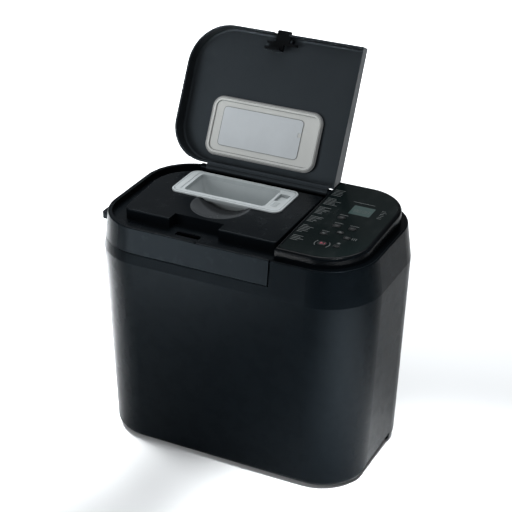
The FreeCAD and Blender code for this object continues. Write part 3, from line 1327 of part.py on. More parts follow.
def make_cover_latch():
    """The front thumb latch: a tab outside, a cross bar and a hook that drops into the slot."""
    tab = block(LATCH_X0, LATCH_X1, LATCH_Y - LATCH_REACH, LATCH_Y + 2, LATCH_Z - 3.4, LATCH_Z + 0.4, 2)
    eye = rod_x(LATCH_X0, LATCH_X1, LATCH_Y, LATCH_Z, 2.8)
    bar = block(SLOT_X0 + 4, SLOT_X1 + 13, LATCH_Y + 3.2, LATCH_Y + 6.4, LATCH_Z - 5.4, LATCH_Z + 0.4)
    link = block(LATCH_X0, LATCH_X1, LATCH_Y, LATCH_Y + 4, LATCH_Z - 3.4, LATCH_Z + 0.4)
    arm = block(SLOT_X0 + 8, SLOT_X1 - 6, LATCH_Y + 5, LATCH_Y + LEG_REACH, LATCH_Z - 5.4, LATCH_Z - 2.4)
    back = LATCH_Y + LEG_REACH
    foot = CHANNEL_Z - 4
    leg = block(SLOT_X0 + 8, SLOT_X1 - 6, back - 2.4, back, foot, LATCH_Z - 3)
    barb = block(SLOT_X0 + 8, SLOT_X1 - 6, back - 4, back - 1, foot, foot + 2)
    latch = fuse(tab, eye, link, bar, arm, leg, barb)
    bore = rod_x(LATCH_X0 - 1, LATCH_X1 + 1, LATCH_Y, LATCH_Z, LATCH_PIN_R + RUNNING)
    return raise_cover(cut(latch, bore))


def make_latch_pin():
    return raise_cover(rod_x(LATCH_X0 - 3.3, LATCH_X1 + 3.3, LATCH_Y, LATCH_Z, LATCH_PIN_R))


# ---------------------------------------------------------------- assembly
def build():
    parts["casing"] = make_casing()
    parts["base_plate"] = make_base_plate()
    parts["rubber_feet"] = make_feet()
    parts["body_screws"] = make_body_screws()
    parts["chamber_deck"] = make_deck()
    parts["baking_chamber"] = make_chamber()
    parts["heating_element"] = make_heater()
    parts["heater_supports"] = make_heater_supports()
    parts["temperature_sensor"] = make_sensor()
    parts["pan_socket"] = make_pan_socket()
    parts["bread_pan"] = make_pan()
    parts["pan_bush"] = make_pan_bush()
    parts["pan_shaft"] = make_pan_shaft()
    parts["kneading_blade"] = make_blade()
    parts["pan_handle"] = make_handle()
    parts["chassis"] = make_chassis()
    parts["bearing_housing"] = make_bearing_housing()
    parts["bearing_bushes"] = make_bearing_bushes()
    parts["drive_shaft"] = make_drive_shaft()
    parts["large_pulley"] = make_large_pulley()
    parts["drive_belt"] = make_belt()
    parts["motor_pulley"] = make_motor_pulley()
    parts["motor_rotor"] = make_motor_rotor()
    parts["motor_stator"] = make_motor_stator()
    parts["motor_windings"] = make_motor_windings()
    parts["motor_brackets"] = make_motor_brackets()
    parts["motor_capacitor"] = make_capacitor()
    parts["heat_shield"] = make_heat_shield()
    parts["power_board"] = make_power_board()
    parts["cord_gland"] = make_cord_gland()
    parts["panel_housing"] = make_panel_block()
    parts["panel_film"] = make_panel_film()
    parts["lcd_window"] = make_lcd_window()
    parts["control_board"] = make_control_board()
    for name, (x, y, half_w, half_d) in BUTTONS.items():
        parts[name] = make_button(x, y, half_w, half_d)
    parts["lid_shell"] = make_lid_shell()
    parts["lid_under_frame"] = make_lid_under_frame()
    parts["lid_liner"] = make_lid_liner()
    parts["lid_seal"] = make_lid_seal()
    parts["lid_screws"] = make_lid_screws()
    parts["lid_hinge_pins"] = make_lid_pins()
    parts["dispenser_tray"] = make_dispenser_tray()
    parts["dispenser_flap"] = make_dispenser_flap()
    parts["dispenser_catch"] = make_dispenser_catch()
    parts["solenoid"] = make_solenoid()
    parts["solenoid_plunger"] = make_plunger()
    parts["cover_shell"] = make_cover_shell()
    parts["cover_pad"] = make_cover_pad()
    parts["pad_plate"] = make_pad_plate()
    parts["pad_gasket"] = make_pad_gasket()
    parts["cover_and_flap_pins"] = make_lid_top_pins()
    parts["cover_latch"] = make_cover_latch()
    parts["latch_pin"] = make_latch_pin()


build()
whole = Part.makeCompound(list(parts.values())).BoundBox
SHIFT = vec(-(whole.XMin + whole.XMax) / 2, -(whole.YMin + whole.YMax) / 2, -whole.ZMin)

if __name__ == "__main__":
    os.makedirs("parts", exist_ok=True)
    for name, shape in parts.items():
        shape.translate(SHIFT)
        shape.exportStep(os.path.join("parts", name + ".step"))
    print(len(parts), "sub-parts, moved by", [round(v, 3) for v in SHIFT])
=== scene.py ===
import math

import bmesh
import bpy
from mathutils import Matrix, Vector


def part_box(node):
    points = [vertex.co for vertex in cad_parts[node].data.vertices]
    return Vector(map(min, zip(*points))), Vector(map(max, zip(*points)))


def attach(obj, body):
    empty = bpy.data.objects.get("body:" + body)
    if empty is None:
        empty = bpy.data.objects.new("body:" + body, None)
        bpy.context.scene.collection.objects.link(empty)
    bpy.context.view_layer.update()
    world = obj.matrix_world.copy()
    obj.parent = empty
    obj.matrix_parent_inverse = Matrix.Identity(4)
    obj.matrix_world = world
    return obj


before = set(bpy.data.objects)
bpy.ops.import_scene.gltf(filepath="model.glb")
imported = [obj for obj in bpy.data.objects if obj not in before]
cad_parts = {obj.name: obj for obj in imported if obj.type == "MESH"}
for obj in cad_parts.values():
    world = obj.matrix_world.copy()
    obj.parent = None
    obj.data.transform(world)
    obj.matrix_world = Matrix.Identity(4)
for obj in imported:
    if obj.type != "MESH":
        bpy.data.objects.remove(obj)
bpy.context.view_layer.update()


# ---- Casing
# The body is one tall moulding in near-black ABS with a fine spark-eroded grain. It is drawn in
# towards the foot and again above the crease, and stands on a plate screwed in from below.

casing_low, casing_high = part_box("casing")
BODY_DEPTH = 0.240
middle_x = (casing_low.x + casing_high.x) / 2
home = Vector((middle_x, casing_low.y + BODY_DEPTH / 2, 0))


class Wire:
    """One output in a material. Python's operators on it add Math nodes, which hold numbers only."""

    def __init__(self, tree, socket):
        self.tree = tree
        self.socket = socket

    def node(self, kind, settings=None, sockets=None, out=0):
        """Any other node, from its type, its settings, and a value or a wire for each socket."""
        made = self.tree.nodes.new(kind)
        for name, value in (settings or {}).items():
            if name == "stops":
                while len(made.color_ramp.elements) < len(value):
                    made.color_ramp.elements.new(0.5)
                for element, (where, colour) in zip(made.color_ramp.elements, value):
                    element.position = where
                    element.color = colour
            else:
                setattr(made, name, value)
        for name, value in (sockets or {}).items():
            if isinstance(value, Wire):
                self.tree.links.new(value.socket, made.inputs[name])
            else:
                made.inputs[name].default_value = value
        return Wire(self.tree, made.outputs[out])

    def maths(self, operation, left, right):
        return self.node("ShaderNodeMath", {"operation": operation}, {0: left, 1: right})

    def __add__(self, other):
        return self.maths("ADD", self, other)

    __radd__ = __add__

    def __sub__(self, other):
        return self.maths("SUBTRACT", self, other)

    def __rsub__(self, other):
        return self.maths("SUBTRACT", other, self)

    def __mul__(self, other):
        return self.maths("MULTIPLY", self, other)

    __rmul__ = __mul__

    def __gt__(self, other):
        return self.maths("GREATER_THAN", self, other)

    def __lt__(self, other):
        return self.maths("LESS_THAN", self, other)

    def between(self, low, high):
        """Rises from 0 at low to 1 at high, and stays within them."""
        return self.node("ShaderNodeMapRange", {"interpolation_type": "SMOOTHSTEP"},
                         {"Value": self, "From Min": low, "From Max": high})

    def mix(self, off, on):
        """The colour off where this wire is 0, and the colour on where it is 1."""
        return self.node("ShaderNodeMix", {"data_type": "RGBA"}, {0: self, 6: off, 7: on}, out=2)

    def axis(self, letter):
        """One part of this point: X, Y or Z."""
        return self.node("ShaderNodeSeparateXYZ", None, {0: self}, out="XYZ".index(letter))

    def noise(self, size, detail=3.0, stretch=(1, 1, 1)):
        """Soft clouds about size metres across."""
        place = self.node("ShaderNodeMapping", None, {"Vector": self, "Scale": stretch})
        return self.node("ShaderNodeTexNoise", None,
                         {"Vector": place, "Scale": 1 / size, "Detail": detail, "Roughness": 0.55})

    def cells(self, size, out=0):
        """Distance to scattered points about size metres apart, or with out=1 a colour for each."""
        return self.node("ShaderNodeTexVoronoi", {"feature": "F1"},
                         {"Vector": self, "Scale": 1 / size}, out)

    def bump(self, height, strength, under=None):
        """The surface's normal, raised by this wire times height metres."""
        sockets = {"Height": self, "Distance": height, "Strength": strength}
        if under:
            sockets["Normal"] = under
        return self.node("ShaderNodeBump", None, sockets)


def grey(level, tint=0.0):
    """An opaque colour, a little bluer where tint is above 0."""
    return (level * (1 - tint), level, level * (1 + tint), 1)


def times(colour, factor):
    """The colour made darker or paler by a factor."""
    return [min(1, part * factor) for part in colour[:3]] + [1]


def plus(colour, amount):
    """The colour with the same amount of white added to each part."""
    return [min(1, part + amount) for part in colour[:3]] + [1]


def finish(name, constants):
    """A material, the point on the surface, and a way to feed its shader."""
    material = bpy.data.materials.new(name)
    material.use_nodes = True
    tree = material.node_tree
    shader = tree.nodes["Principled BSDF"]
    for socket, value in constants.items():
        shader.inputs[socket].default_value = value
    point = Wire(tree, tree.nodes.new("ShaderNodeTexCoord").outputs["Object"])

    def feed(**wires):
        for socket, wire in wires.items():
            tree.links.new(wire.socket, shader.inputs[socket.replace("_", " ")])
        return material
    return point, feed


def coat_node(material, *names):
    """Gives CAD nodes a finish by assigning it to their slots."""
    for name in names:
        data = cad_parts[name].data
        if not data.materials:
            data.materials.append(material)
        for i in range(len(data.materials)):
            data.materials[i] = material


NO_TINT = (1, 1, 1, 1)
HOLLOW_LIGHT_EDGE = (0.0004, 0.0012)


def moulded(name, colour, rough, level, grain=0.00035, depth=0.00002, dust=0.03,
            sheen_tint=NO_TINT, lit_hollow=None):
    """Injection-moulded plastic: fine grain, faint flow marks, hand marks and a trace of dust.

    The last argument gives the centre, radius and tone of a round hollow that is painted paler, a painted
    highlight for the light it catches.
    """
    point, feed = finish(name, {"Specular IOR Level": level, "Specular Tint": sheen_tint})
    flow = point.noise(0.055, 4, (1, 1, 0.35))
    hands = point.noise(0.022, 5).between(0.45, 0.75)
    grains = point.noise(grain, 2)
    specks = (point.cells(0.006) < 0.035) * point.noise(0.03, 2).between(0.5, 0.7)
    tone = flow.mix(times(colour, 0.86), times(colour, 1.14))
    tone = (specks * 0.6).mix(tone, plus(colour, dust))
    # Painted highlight: the round hollow is painted paler for the light it catches.
    if lit_hollow:
        centre, radius, pale = lit_hollow
        away = point.node("ShaderNodeVectorMath", {"operation": "DISTANCE"}, {0: point, 1: centre}, out=1)
        inside = 1 - away.between(radius + HOLLOW_LIGHT_EDGE[0], radius + HOLLOW_LIGHT_EDGE[1])
        tone = inside.mix(tone, pale)
    roughness = rough - 0.05 + hands * 0.07 + grains * 0.05
    waves = point.noise(0.09, 1).bump(0.0006, 0.15)
    return feed(Base_Color=tone, Roughness=roughness, Normal=grains.bump(depth, 0.35, waves))


BLUE_SHEEN = (0.72, 0.88, 1.0, 1)
body_black = moulded("body_black", grey(0.0024, 0.35), 0.3, 0.028, dust=0.006, sheen_tint=BLUE_SHEEN)
coat_node(body_black, "casing")


# ---- Lid
# The lid is the upper band's left part, in the same plastic, painted slightly paler than the body for the
# front light on it. The round hollow in its platform is painted paler still, a painted highlight for the
# light it catches.

HOLLOW_RADIUS = 0.066
hollow_centre = home + Vector((-0.050, -0.008, 0.3925))
# The lid's base tone is painted paler than the body's, for the front light on its faces.
lid_black = moulded("lid_black", grey(0.005, 0.25), 0.26, 0.06, dust=0.006, sheen_tint=BLUE_SHEEN,
                    lit_hollow=(hollow_centre, HOLLOW_RADIUS, grey(0.055, 0.06)))
coat_node(lid_black, "lid_shell")


# ---- Base plate and feet
# The plate is a plain black moulding with the motor's air slots, and the feet are pressed rubber
# discs with a slightly blooming surface.

base_black = moulded("base_black", grey(0.016), 0.62, 0.35, grain=0.0006, depth=0.00005)
coat_node(base_black, "base_plate", "chamber_deck")


def rubber(name, colour, rough=0.8, bloom=0.05):
    """Moulded rubber, a little paler where the wax has come to the surface."""
    point, feed = finish(name, {"Specular IOR Level": 0.3})
    clouds = point.noise(0.012, 4).between(0.4, 0.8)
    pores = point.noise(0.0005, 2)
    tone = (clouds * 0.6).mix(colour, plus(colour, bloom))
    return feed(Base_Color=tone, Roughness=rough - 0.1 + clouds * 0.15, Normal=pores.bump(0.00004, 0.4))


coat_node(rubber("foot_rubber", grey(0.02)), "rubber_feet", "cord_gland")
coat_node(rubber("belt_rubber", grey(0.03), 0.7), "drive_belt")


# ---- Steel fixings and pins
# Screws are zinc plated, which leaves small bright cells. The hinge and latch pins are drawn wire
# with marks along their length.

def plated(name, colour, rough, cell, contrast=0.2):
    """Sheet or screws with a crystalline zinc or aluminium coat."""
    point, feed = finish(name, {"Metallic": 1.0})
    crystals = point.node("ShaderNodeRGBToBW", None, {0: point.cells(cell, out=1)})
    fine = point.noise(cell / 6, 4)
    tone = (crystals * 0.6 + fine * 0.4).mix(times(colour, 1 - contrast), times(colour, 1 + contrast))
    return feed(Base_Color=tone, Roughness=rough + crystals * 0.12, Normal=fine.bump(0.00002, 0.3))


coat_node(plated("zinc_screws", grey(0.6, 0.02), 0.3, 0.0012), "body_screws", "lid_screws")


def drawn(name, colour, rough, along=(1, 1, 1), size=0.0006):
    """Turned, drawn or rolled metal, with marks stretched along one direction."""
    point, feed = finish(name, {"Metallic": 1.0})
    lines = point.noise(size, 3, along)
    stains = point.noise(0.02, 4)
    tone = (lines * 0.5 + stains * 0.5).mix(times(colour, 0.82), times(colour, 1.15))
    return feed(Base_Color=tone, Roughness=rough - 0.06 + lines * 0.14, Normal=lines.bump(0.00001, 0.4))


coat_node(drawn("pin_steel", grey(0.62), 0.22, (0.05, 1, 1)), "lid_hinge_pins")
coat_node(drawn("blackened_pin", grey(0.02), 0.4, (0.05, 1, 1)), "cover_and_flap_pins", "latch_pin")


# ---- Baking chamber, heater and shield
# The chamber is folded from aluminised sheet, tanned by heat near the element, and the element is
# a steel sheath oxidised to a grey brown.

HEAT_FADE = 0.07


def baked_sheet(name, hot_z):
    """Aluminised sheet, tanned by the heat in the belt that starts at hot_z and fades upwards."""
    point, feed = finish(name, {"Metallic": 1.0})
    rolling = point.noise(0.0008, 3, (1, 1, 0.04))
    clouds = point.noise(0.03, 5)
    heat = (1 - point.axis("Z").between(hot_z, hot_z + HEAT_FADE)) * clouds.between(0.35, 0.65)
    plain = (rolling * 0.5 + clouds * 0.5).mix(grey(0.48), grey(0.62))
    tone = (heat * 0.7).mix(plain, (0.36, 0.25, 0.14, 1))
    roughness = 0.28 + rolling * 0.12 + heat * 0.2
    return feed(Base_Color=tone, Roughness=roughness, Normal=rolling.bump(0.00001, 0.4))


chamber_low, chamber_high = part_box("baking_chamber")
coat_node(baked_sheet("aluminised_sheet", chamber_low.z + 0.02), "baking_chamber",
          "heater_supports", "heat_shield")
coat_node(plated("galvanised_sheet", grey(0.5, 0.03), 0.35, 0.006), "chassis", "motor_brackets")
coat_node(drawn("element_sheath", (0.17, 0.13, 0.1, 1), 0.5, (1, 1, 1), 0.003), "heating_element",
          "temperature_sensor")


# ---- Pan, socket and blade
# The pan and blade are pressed and cast aluminium with a speckled dark non-stick coat, and the
# socket under them is a bare die casting.

def speckled_coat(name):
    """A dark non-stick coat with pale flecks, worn a little in patches."""
    point, feed = finish(name, {"Coat Weight": 0.25, "Coat Roughness": 0.25})
    flecks = point.cells(0.0016) < 0.16
    wear = point.noise(0.012, 5).between(0.62, 0.8)
    tone = (flecks * 0.5).mix(grey(0.035), grey(0.22))
    tone = (wear * 0.25).mix(tone, grey(0.13))
    skin = point.noise(0.0007, 3)
    return feed(Base_Color=tone, Roughness=0.36 + wear * 0.2, Normal=skin.bump(0.00003, 0.5))


coat_node(speckled_coat("non_stick_coat"), "bread_pan", "kneading_blade")


def cast_metal(name, colour, rough):
    """Cast or sintered metal with a fine pebbled skin."""
    point, feed = finish(name, {"Metallic": 1.0})
    skin = point.noise(0.0009, 5)
    flow = point.noise(0.02, 3)
    tone = flow.mix(times(colour, 0.85), times(colour, 1.08))
    return feed(Base_Color=tone, Roughness=rough + skin * 0.15, Normal=skin.bump(0.00006, 0.5))


coat_node(cast_metal("die_casting", grey(0.6), 0.4), "pan_socket", "bearing_housing")
coat_node(cast_metal("sintered_bronze", (0.45, 0.3, 0.15, 1), 0.45), "pan_bush", "bearing_bushes")
coat_node(drawn("ground_steel", grey(0.65), 0.16, (1, 1, 12)), "pan_shaft", "drive_shaft", "motor_rotor",
          "pan_handle")


# ---- Motor, belt drive and boards
# The stator is a stack of half-millimetre laminations with two enamelled copper coils. The pulleys
# are pale acetal, and both boards have green lacquer with taller parts standing on it.

coat_node(moulded("acetal", grey(0.62), 0.42, 0.4, dust=-0.1), "large_pulley", "motor_pulley")


LAMINATION_PITCH = 0.0005


def laminated(name):
    """Stacked steel sheets seen on edge, with a little rust."""
    point, feed = finish(name, {"Metallic": 0.9})
    layers = point.axis("Z") * (2 * math.pi / LAMINATION_PITCH)
    ridge = point.node("ShaderNodeMath", {"operation": "SINE"}, {0: layers})
    rust = point.noise(0.008, 5).between(0.55, 0.75)
    steel = (ridge * 0.5 + 0.5).mix(grey(0.16), grey(0.32))
    tone = (rust * 0.4).mix(steel, (0.2, 0.09, 0.04, 1))
    return feed(Base_Color=tone, Roughness=0.42 + rust * 0.3, Normal=ridge.bump(0.0001, 0.6))


coat_node(laminated("laminations"), "motor_stator")


def wound(name, colour, pitch, letter):
    """Wire laid in turns, pitch apart along one axis, with painted shade in the troughs between turns."""
    point, feed = finish(name, {"Coat Weight": 0.6, "Coat Roughness": 0.15, "Metallic": 0.7})
    wander = point.noise(0.004, 2) * 0.0006
    turns = (point.axis(letter) + wander) * (2 * math.pi / pitch)
    ridge = point.node("ShaderNodeMath", {"operation": "SINE"}, {0: turns}) * 0.5 + 0.5
    # Painted shade: the troughs between turns are darkened for the shade between the wires.
    tone = ridge.mix(times(colour, 0.35), colour)
    roughness = 0.3 + point.noise(0.01, 3) * 0.15
    return feed(Base_Color=tone, Roughness=roughness, Normal=ridge.bump(0.0003, 0.8))


coat_node(wound("copper_turns", (0.6, 0.22, 0.08, 1), 0.0008, "Z"), "motor_windings")
coat_node(moulded("capacitor_can", grey(0.55), 0.45, 0.4, dust=-0.05), "motor_capacitor")


def circuit_board(name, letter, lacquer_end):
    """Green lacquer with copper tracks up to lacquer_end along one axis, and the parts beyond it."""
    point, feed = finish(name, {})
    parts = point.axis(letter) > lacquer_end
    tracks = point.node("ShaderNodeTexBrick", {"offset": 0.35}, {
        "Vector": point.node("ShaderNodeMapping", None, {"Vector": point, "Rotation": (0.5, 0.3, 0.2)}),
        "Scale": 90.0, "Color1": grey(0), "Color2": grey(0), "Mortar": grey(1), "Mortar Size": 0.02})
    green = tracks.mix((0.012, 0.085, 0.03, 1), (0.03, 0.17, 0.06, 1))
    kinds = point.node("ShaderNodeRGBToBW", None, {0: point.cells(0.016, out=1)})
    stops = [(0.0, grey(0.02)), (0.45, grey(0.05)), (0.55, (0.03, 0.07, 0.22, 1)),
             (0.8, (0.5, 0.36, 0.08, 1))]
    body = point.node("ShaderNodeValToRGB", {"stops": stops}, {0: kinds})
    return feed(Base_Color=parts.mix(green, body), Roughness=0.35 + point.noise(0.004, 3) * 0.2,
                Normal=point.noise(0.0006, 2).bump(0.00004, 0.4))


POWER_LACQUER_DEPTH = 0.0077
ABOVE_EVERYTHING = 1.0
power_low, power_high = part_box("power_board")
coat_node(circuit_board("power_lacquer", "X", power_low.x + POWER_LACQUER_DEPTH), "power_board")
coat_node(circuit_board("control_lacquer", "Z", ABOVE_EVERYTHING), "control_board")


# ---- Lid underside
# The lid's under frame is black heat-resisting plastic round a bright pressed liner, and a grey
# silicone seal runs between them.

coat_node(moulded("frame_black", grey(0.02), 0.55, 0.35), "lid_under_frame")


def bright_liner(name):
    """Rolled aluminium, browned a little in patches by baking."""
    point, feed = finish(name, {"Metallic": 1.0})
    rolling = point.noise(0.0006, 3, (0.03, 1, 1))
    baked = point.noise(0.03, 5).between(0.45, 0.75)
    tone = (baked * 0.3).mix(grey(0.55), (0.46, 0.41, 0.33, 1))
    roughness = 0.36 + rolling * 0.1 + baked * 0.06
    return feed(Base_Color=tone, Roughness=roughness, Normal=rolling.bump(0.00001, 0.4))


coat_node(bright_liner("rolled_aluminium"), "lid_liner")
coat_node(rubber("seal_silicone", grey(0.3), 0.5, 0.04), "lid_seal", "pad_gasket")
coat_node(wound("solenoid_turns", (0.5, 0.2, 0.08, 1), 0.0006, "X"), "solenoid")
coat_node(drawn("plunger_steel", grey(0.6), 0.25, (0.05, 1, 1)), "solenoid_plunger")


# ---- Ingredient box
# A light grey moulding with a rounded rim and tapered walls, which drops into the platform. A
# sliding catch at its right end holds it, and a trap door closes it from below.

pale_grey = moulded("pale_grey", (0.44, 0.47, 0.475, 1), 0.4, 0.35, dust=-0.06)
coat_node(pale_grey, "dispenser_tray", "dispenser_catch", "dispenser_flap")


# ---- Ingredient cover
# The cover is a shallow dark moulding with a turned-down skirt and a thumb latch. A pale cap with
# a cooler grey plate set into it closes the ingredient box.

cover_black = moulded("cover_black", grey(0.026, 0.12), 0.4, 0.2, dust=0.008, sheen_tint=BLUE_SHEEN)
coat_node(cover_black, "cover_shell")
coat_node(moulded("latch_black", grey(0.004, 0.2), 0.3, 0.1, dust=0.004), "cover_latch")
coat_node(moulded("pad_white", (0.64, 0.645, 0.62, 1), 0.42, 0.35, dust=-0.08), "cover_pad")
coat_node(moulded("plate_grey", (0.60, 0.63, 0.65, 1), 0.4, 0.35, dust=-0.06), "pad_plate")


# ---- Control panel
# The panel is a smooth black housing with a printed film laid into it. The film covers the whole
# deck and is faintly green, with openings for the keys and a display window.

def gloss_film(name, colour, rough, coat, level):
    """Smooth plastic with finger smears and a faint unevenness of tone."""
    point, feed = finish(name, {"Specular IOR Level": level, "Coat Weight": coat, "Coat Roughness": 0.06})
    smears = point.noise(0.018, 5, (1, 0.4, 1)).between(0.45, 0.8)
    tone = point.noise(0.05, 2).mix(colour, times(colour, 1.25))
    waves = point.noise(0.05, 1)
    return feed(Base_Color=tone, Roughness=rough + smears * 0.1, Normal=waves.bump(0.0004, 0.1))


coat_node(gloss_film("housing_gloss", grey(0.0022, 0.3), 0.2, 0.02, 0.03), "panel_housing")
coat_node(gloss_film("film_gloss", (0.0022, 0.0052, 0.0052, 1), 0.2, 0.02, 0.07), "panel_film")
coat_node(moulded("key_black", grey(0.007, 0.1), 0.3, 0.12, dust=0.008), "button_menu",
          "button_crust", "button_size", "button_timer_down", "button_timer_up", "button_light",
          "button_keep_warm")
coat_node(moulded("start_key", grey(0.008, 0.1), 0.3, 0.12, dust=0.008), "button_start")


def display_glass(name):
    """An unlit grey-green display behind its clear window."""
    point, feed = finish(name, {"Coat Weight": 0.3, "Coat Roughness": 0.03})
    tone = point.noise(0.01, 3).mix((0.032, 0.06, 0.056, 1), (0.04, 0.07, 0.066, 1))
    return feed(Base_Color=tone, Roughness=0.14 + point.noise(0.012, 4).between(0.5, 0.8) * 0.08)


coat_node(display_glass("display_grey"), "lcd_window")

film_low, film_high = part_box("panel_film")
PANEL_SLOPE = 0.035
slope_angle = math.atan(PANEL_SLOPE)
right_way = Vector((1, 0, 0))
up_panel = Vector((0, math.cos(slope_angle), math.sin(slope_angle)))
out_of_panel = Vector((0, -math.sin(slope_angle), math.cos(slope_angle)))


def panel_spot(x, y, lift=0.0):
    """The placing of a flat piece at a spot of the film, in millimetres from home."""
    world_y = home.y + y / 1000
    z = film_high.z - (film_high.y - world_y) * PANEL_SLOPE + lift
    place = Matrix((right_way, up_panel, out_of_panel)).transposed().to_4x4()
    place.translation = Vector((home.x + x / 1000, world_y, z))
    return place


def printed(name, colour):
    """Screen-printed ink, a little uneven in cover."""
    point, feed = finish(name, {"Specular IOR Level": 0.3})
    cover = point.noise(0.0008, 3)
    tone = cover.mix(times(colour, 0.8), colour)
    return feed(Base_Color=tone, Roughness=0.45 + cover * 0.15)


def dash_tree(name):
    """Rows of printed dashes of uneven length, which stand for a list of programmes."""
    tree = bpy.data.node_groups.new(name, "GeometryNodeTree")
    tree.interface.new_socket("Geometry", in_out="OUTPUT", socket_type="NodeSocketGeometry")
    for label, kind in (("Rows", "Int"), ("Pitch", "Float"), ("Shortest", "Float"), ("Longest", "Float"),
                        ("Stroke", "Float"), ("Thickness", "Float"), ("Seed", "Int"), ("Ink", "Material")):
        tree.interface.new_socket(label, in_out="INPUT", socket_type="NodeSocket" + kind)
    given = tree.nodes.new("NodeGroupInput")
    line = tree.nodes.new("GeometryNodeMeshLine")
    step = tree.nodes.new("ShaderNodeCombineXYZ")
    down = tree.nodes.new("ShaderNodeMath")
    down.operation = "MULTIPLY"
    down.inputs[1].default_value = -1
    cube = tree.nodes.new("GeometryNodeMeshCube")
    size = tree.nodes.new("ShaderNodeCombineXYZ")
    size.inputs[0].default_value = 1
    shift = tree.nodes.new("GeometryNodeTransform")
    shift.inputs["Translation"].default_value = (0.5, 0, 0)
    spread = tree.nodes.new("GeometryNodeInstanceOnPoints")
    length = tree.nodes.new("FunctionNodeRandomValue")
    scale = tree.nodes.new("ShaderNodeCombineXYZ")
    scale.inputs[1].default_value = 1
    scale.inputs[2].default_value = 1
    real = tree.nodes.new("GeometryNodeRealizeInstances")
    paint = tree.nodes.new("GeometryNodeSetMaterial")
    result = tree.nodes.new("NodeGroupOutput")
    link = tree.links.new
    link(given.outputs["Rows"], line.inputs["Count"])
    link(given.outputs["Pitch"], down.inputs[0])
    link(down.outputs[0], step.inputs[1])
    link(step.outputs[0], line.inputs["Offset"])
    link(given.outputs["Stroke"], size.inputs[1])
    link(given.outputs["Thickness"], size.inputs[2])
    link(size.outputs[0], cube.inputs["Size"])
    link(cube.outputs["Mesh"], shift.inputs["Geometry"])
    link(line.outputs["Mesh"], spread.inputs["Points"])
    link(shift.outputs["Geometry"], spread.inputs["Instance"])
    link(given.outputs["Shortest"], length.inputs[2])
    link(given.outputs["Longest"], length.inputs[3])
    link(given.outputs["Seed"], length.inputs["Seed"])
    link(length.outputs[1], scale.inputs[0])
    link(scale.outputs[0], spread.inputs["Scale"])
    link(spread.outputs["Instances"], real.inputs["Geometry"])
    link(real.outputs["Geometry"], paint.inputs["Geometry"])
    link(given.outputs["Ink"], paint.inputs["Material"])
    link(paint.outputs["Geometry"], result.inputs["Geometry"])
    return tree


def grown(name, tree, values):
    """The plain mesh that a tree makes from its named inputs."""
    holder = bpy.data.objects.new(name + "_source", bpy.data.meshes.new(name + "_source"))
    bpy.context.scene.collection.objects.link(holder)
    modifier = holder.modifiers.new("grow", "NODES")
    modifier.node_group = tree
    for item in tree.interface.items_tree:
        if item.in_out == "INPUT" and item.name in values:
            modifier[item.identifier] = values[item.name]
    graph = bpy.context.evaluated_depsgraph_get()
    mesh = bpy.data.meshes.new_from_object(holder.evaluated_get(graph), depsgraph=graph)
    bpy.data.objects.remove(holder)
    return mesh


def keep(name, meshes, body, material):
    """Joins meshes into one piece at the origin and lets it ride on a body."""
    joined = bmesh.new()
    for mesh in meshes:
        joined.from_mesh(mesh)
    data = bpy.data.meshes.new(name)
    joined.to_mesh(data)
    joined.free()
    data.materials.append(material)
    piece = bpy.data.objects.new(name, data)
    bpy.context.scene.collection.objects.link(piece)
    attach(piece, body)


white_ink = printed("white_ink", (0.10, 0.108, 0.108, 1))
dashes = dash_tree("printed_dashes")
INK_THICKNESS = 0.00006
DASH_STROKE = 0.0008
PROGRAMME_COLUMNS = (
    # x and y of the top row, rows, pitch, shortest, longest, seed. The last two are the short list
    # beside the display and the plain bar behind it.
    (80.5, 78.0, 5, 4.0, 6.0, 15.0, 3),
    (80.5, 52.0, 6, 3.6, 9.0, 21.0, 8),
    (80.5, 24.0, 6, 3.6, 7.0, 19.0, 12),
    (80.5, -4.0, 5, 3.6, 8.0, 20.0, 21),
    (80.5, -30.0, 6, 3.8, 6.0, 17.0, 30),
    (80.5, -60.0, 4, 3.8, 10.0, 18.0, 41),
    (160.5, 46.0, 6, 4.2, 2.5, 7.5, 5),
    (116.0, 56.0, 1, 4.0, 30.0, 31.0, 2),
)
lists = []
for x, y, rows, pitch, shortest, longest, seed in PROGRAMME_COLUMNS:
    values = {"Rows": rows, "Pitch": pitch / 1000, "Shortest": shortest / 1000,
              "Longest": longest / 1000, "Stroke": DASH_STROKE, "Thickness": INK_THICKNESS,
              "Seed": seed, "Ink": white_ink}
    mesh = grown("list", dashes, values)
    mesh.transform(panel_spot(x, y, INK_THICKNESS / 2))
    lists.append(mesh)
keep("printed_lists", lists, "machine", white_ink)


# ---- Key marks
# Every key has a small printed sign beside or over it: bars, arrows, a ring and a star. None of
# them is lettering. Two curved brackets stand on either side of the start key.

def flat_shape(points):
    """A thin printed patch from its outline, in millimetres, anticlockwise."""
    patch = bmesh.new()
    low = [patch.verts.new((x / 1000, y / 1000, 0)) for x, y in points]
    high = [patch.verts.new((x / 1000, y / 1000, INK_THICKNESS)) for x, y in points]
    patch.faces.new(high)
    patch.faces.new(low[::-1])
    for i in range(len(points)):
        j = (i + 1) % len(points)
        patch.faces.new((low[i], low[j], high[j], high[i]))
    mesh = bpy.data.meshes.new("patch")
    patch.to_mesh(mesh)
    patch.free()
    return mesh


def bar(width, height):
    """A thin printed bar about the origin."""
    return flat_shape([(-width / 2, -height / 2), (width / 2, -height / 2),
                       (width / 2, height / 2), (-width / 2, height / 2)])


def arc_shape(radius, stroke, start, end, steps=20):
    """A curved bar about the origin, from start to end degrees."""
    angles = [math.radians(start + (end - start) * i / steps) for i in range(steps + 1)]
    outer = [((radius + stroke) * math.cos(a), (radius + stroke) * math.sin(a)) for a in angles]
    inner = [(radius * math.cos(a), radius * math.sin(a)) for a in reversed(angles)]
    return flat_shape(outer + inner)


def set_down(mesh, x, y, lift=0.0):
    """Puts a flat mesh on the film at a spot in millimetres from home."""
    mesh.transform(panel_spot(x, y, lift))
    return mesh


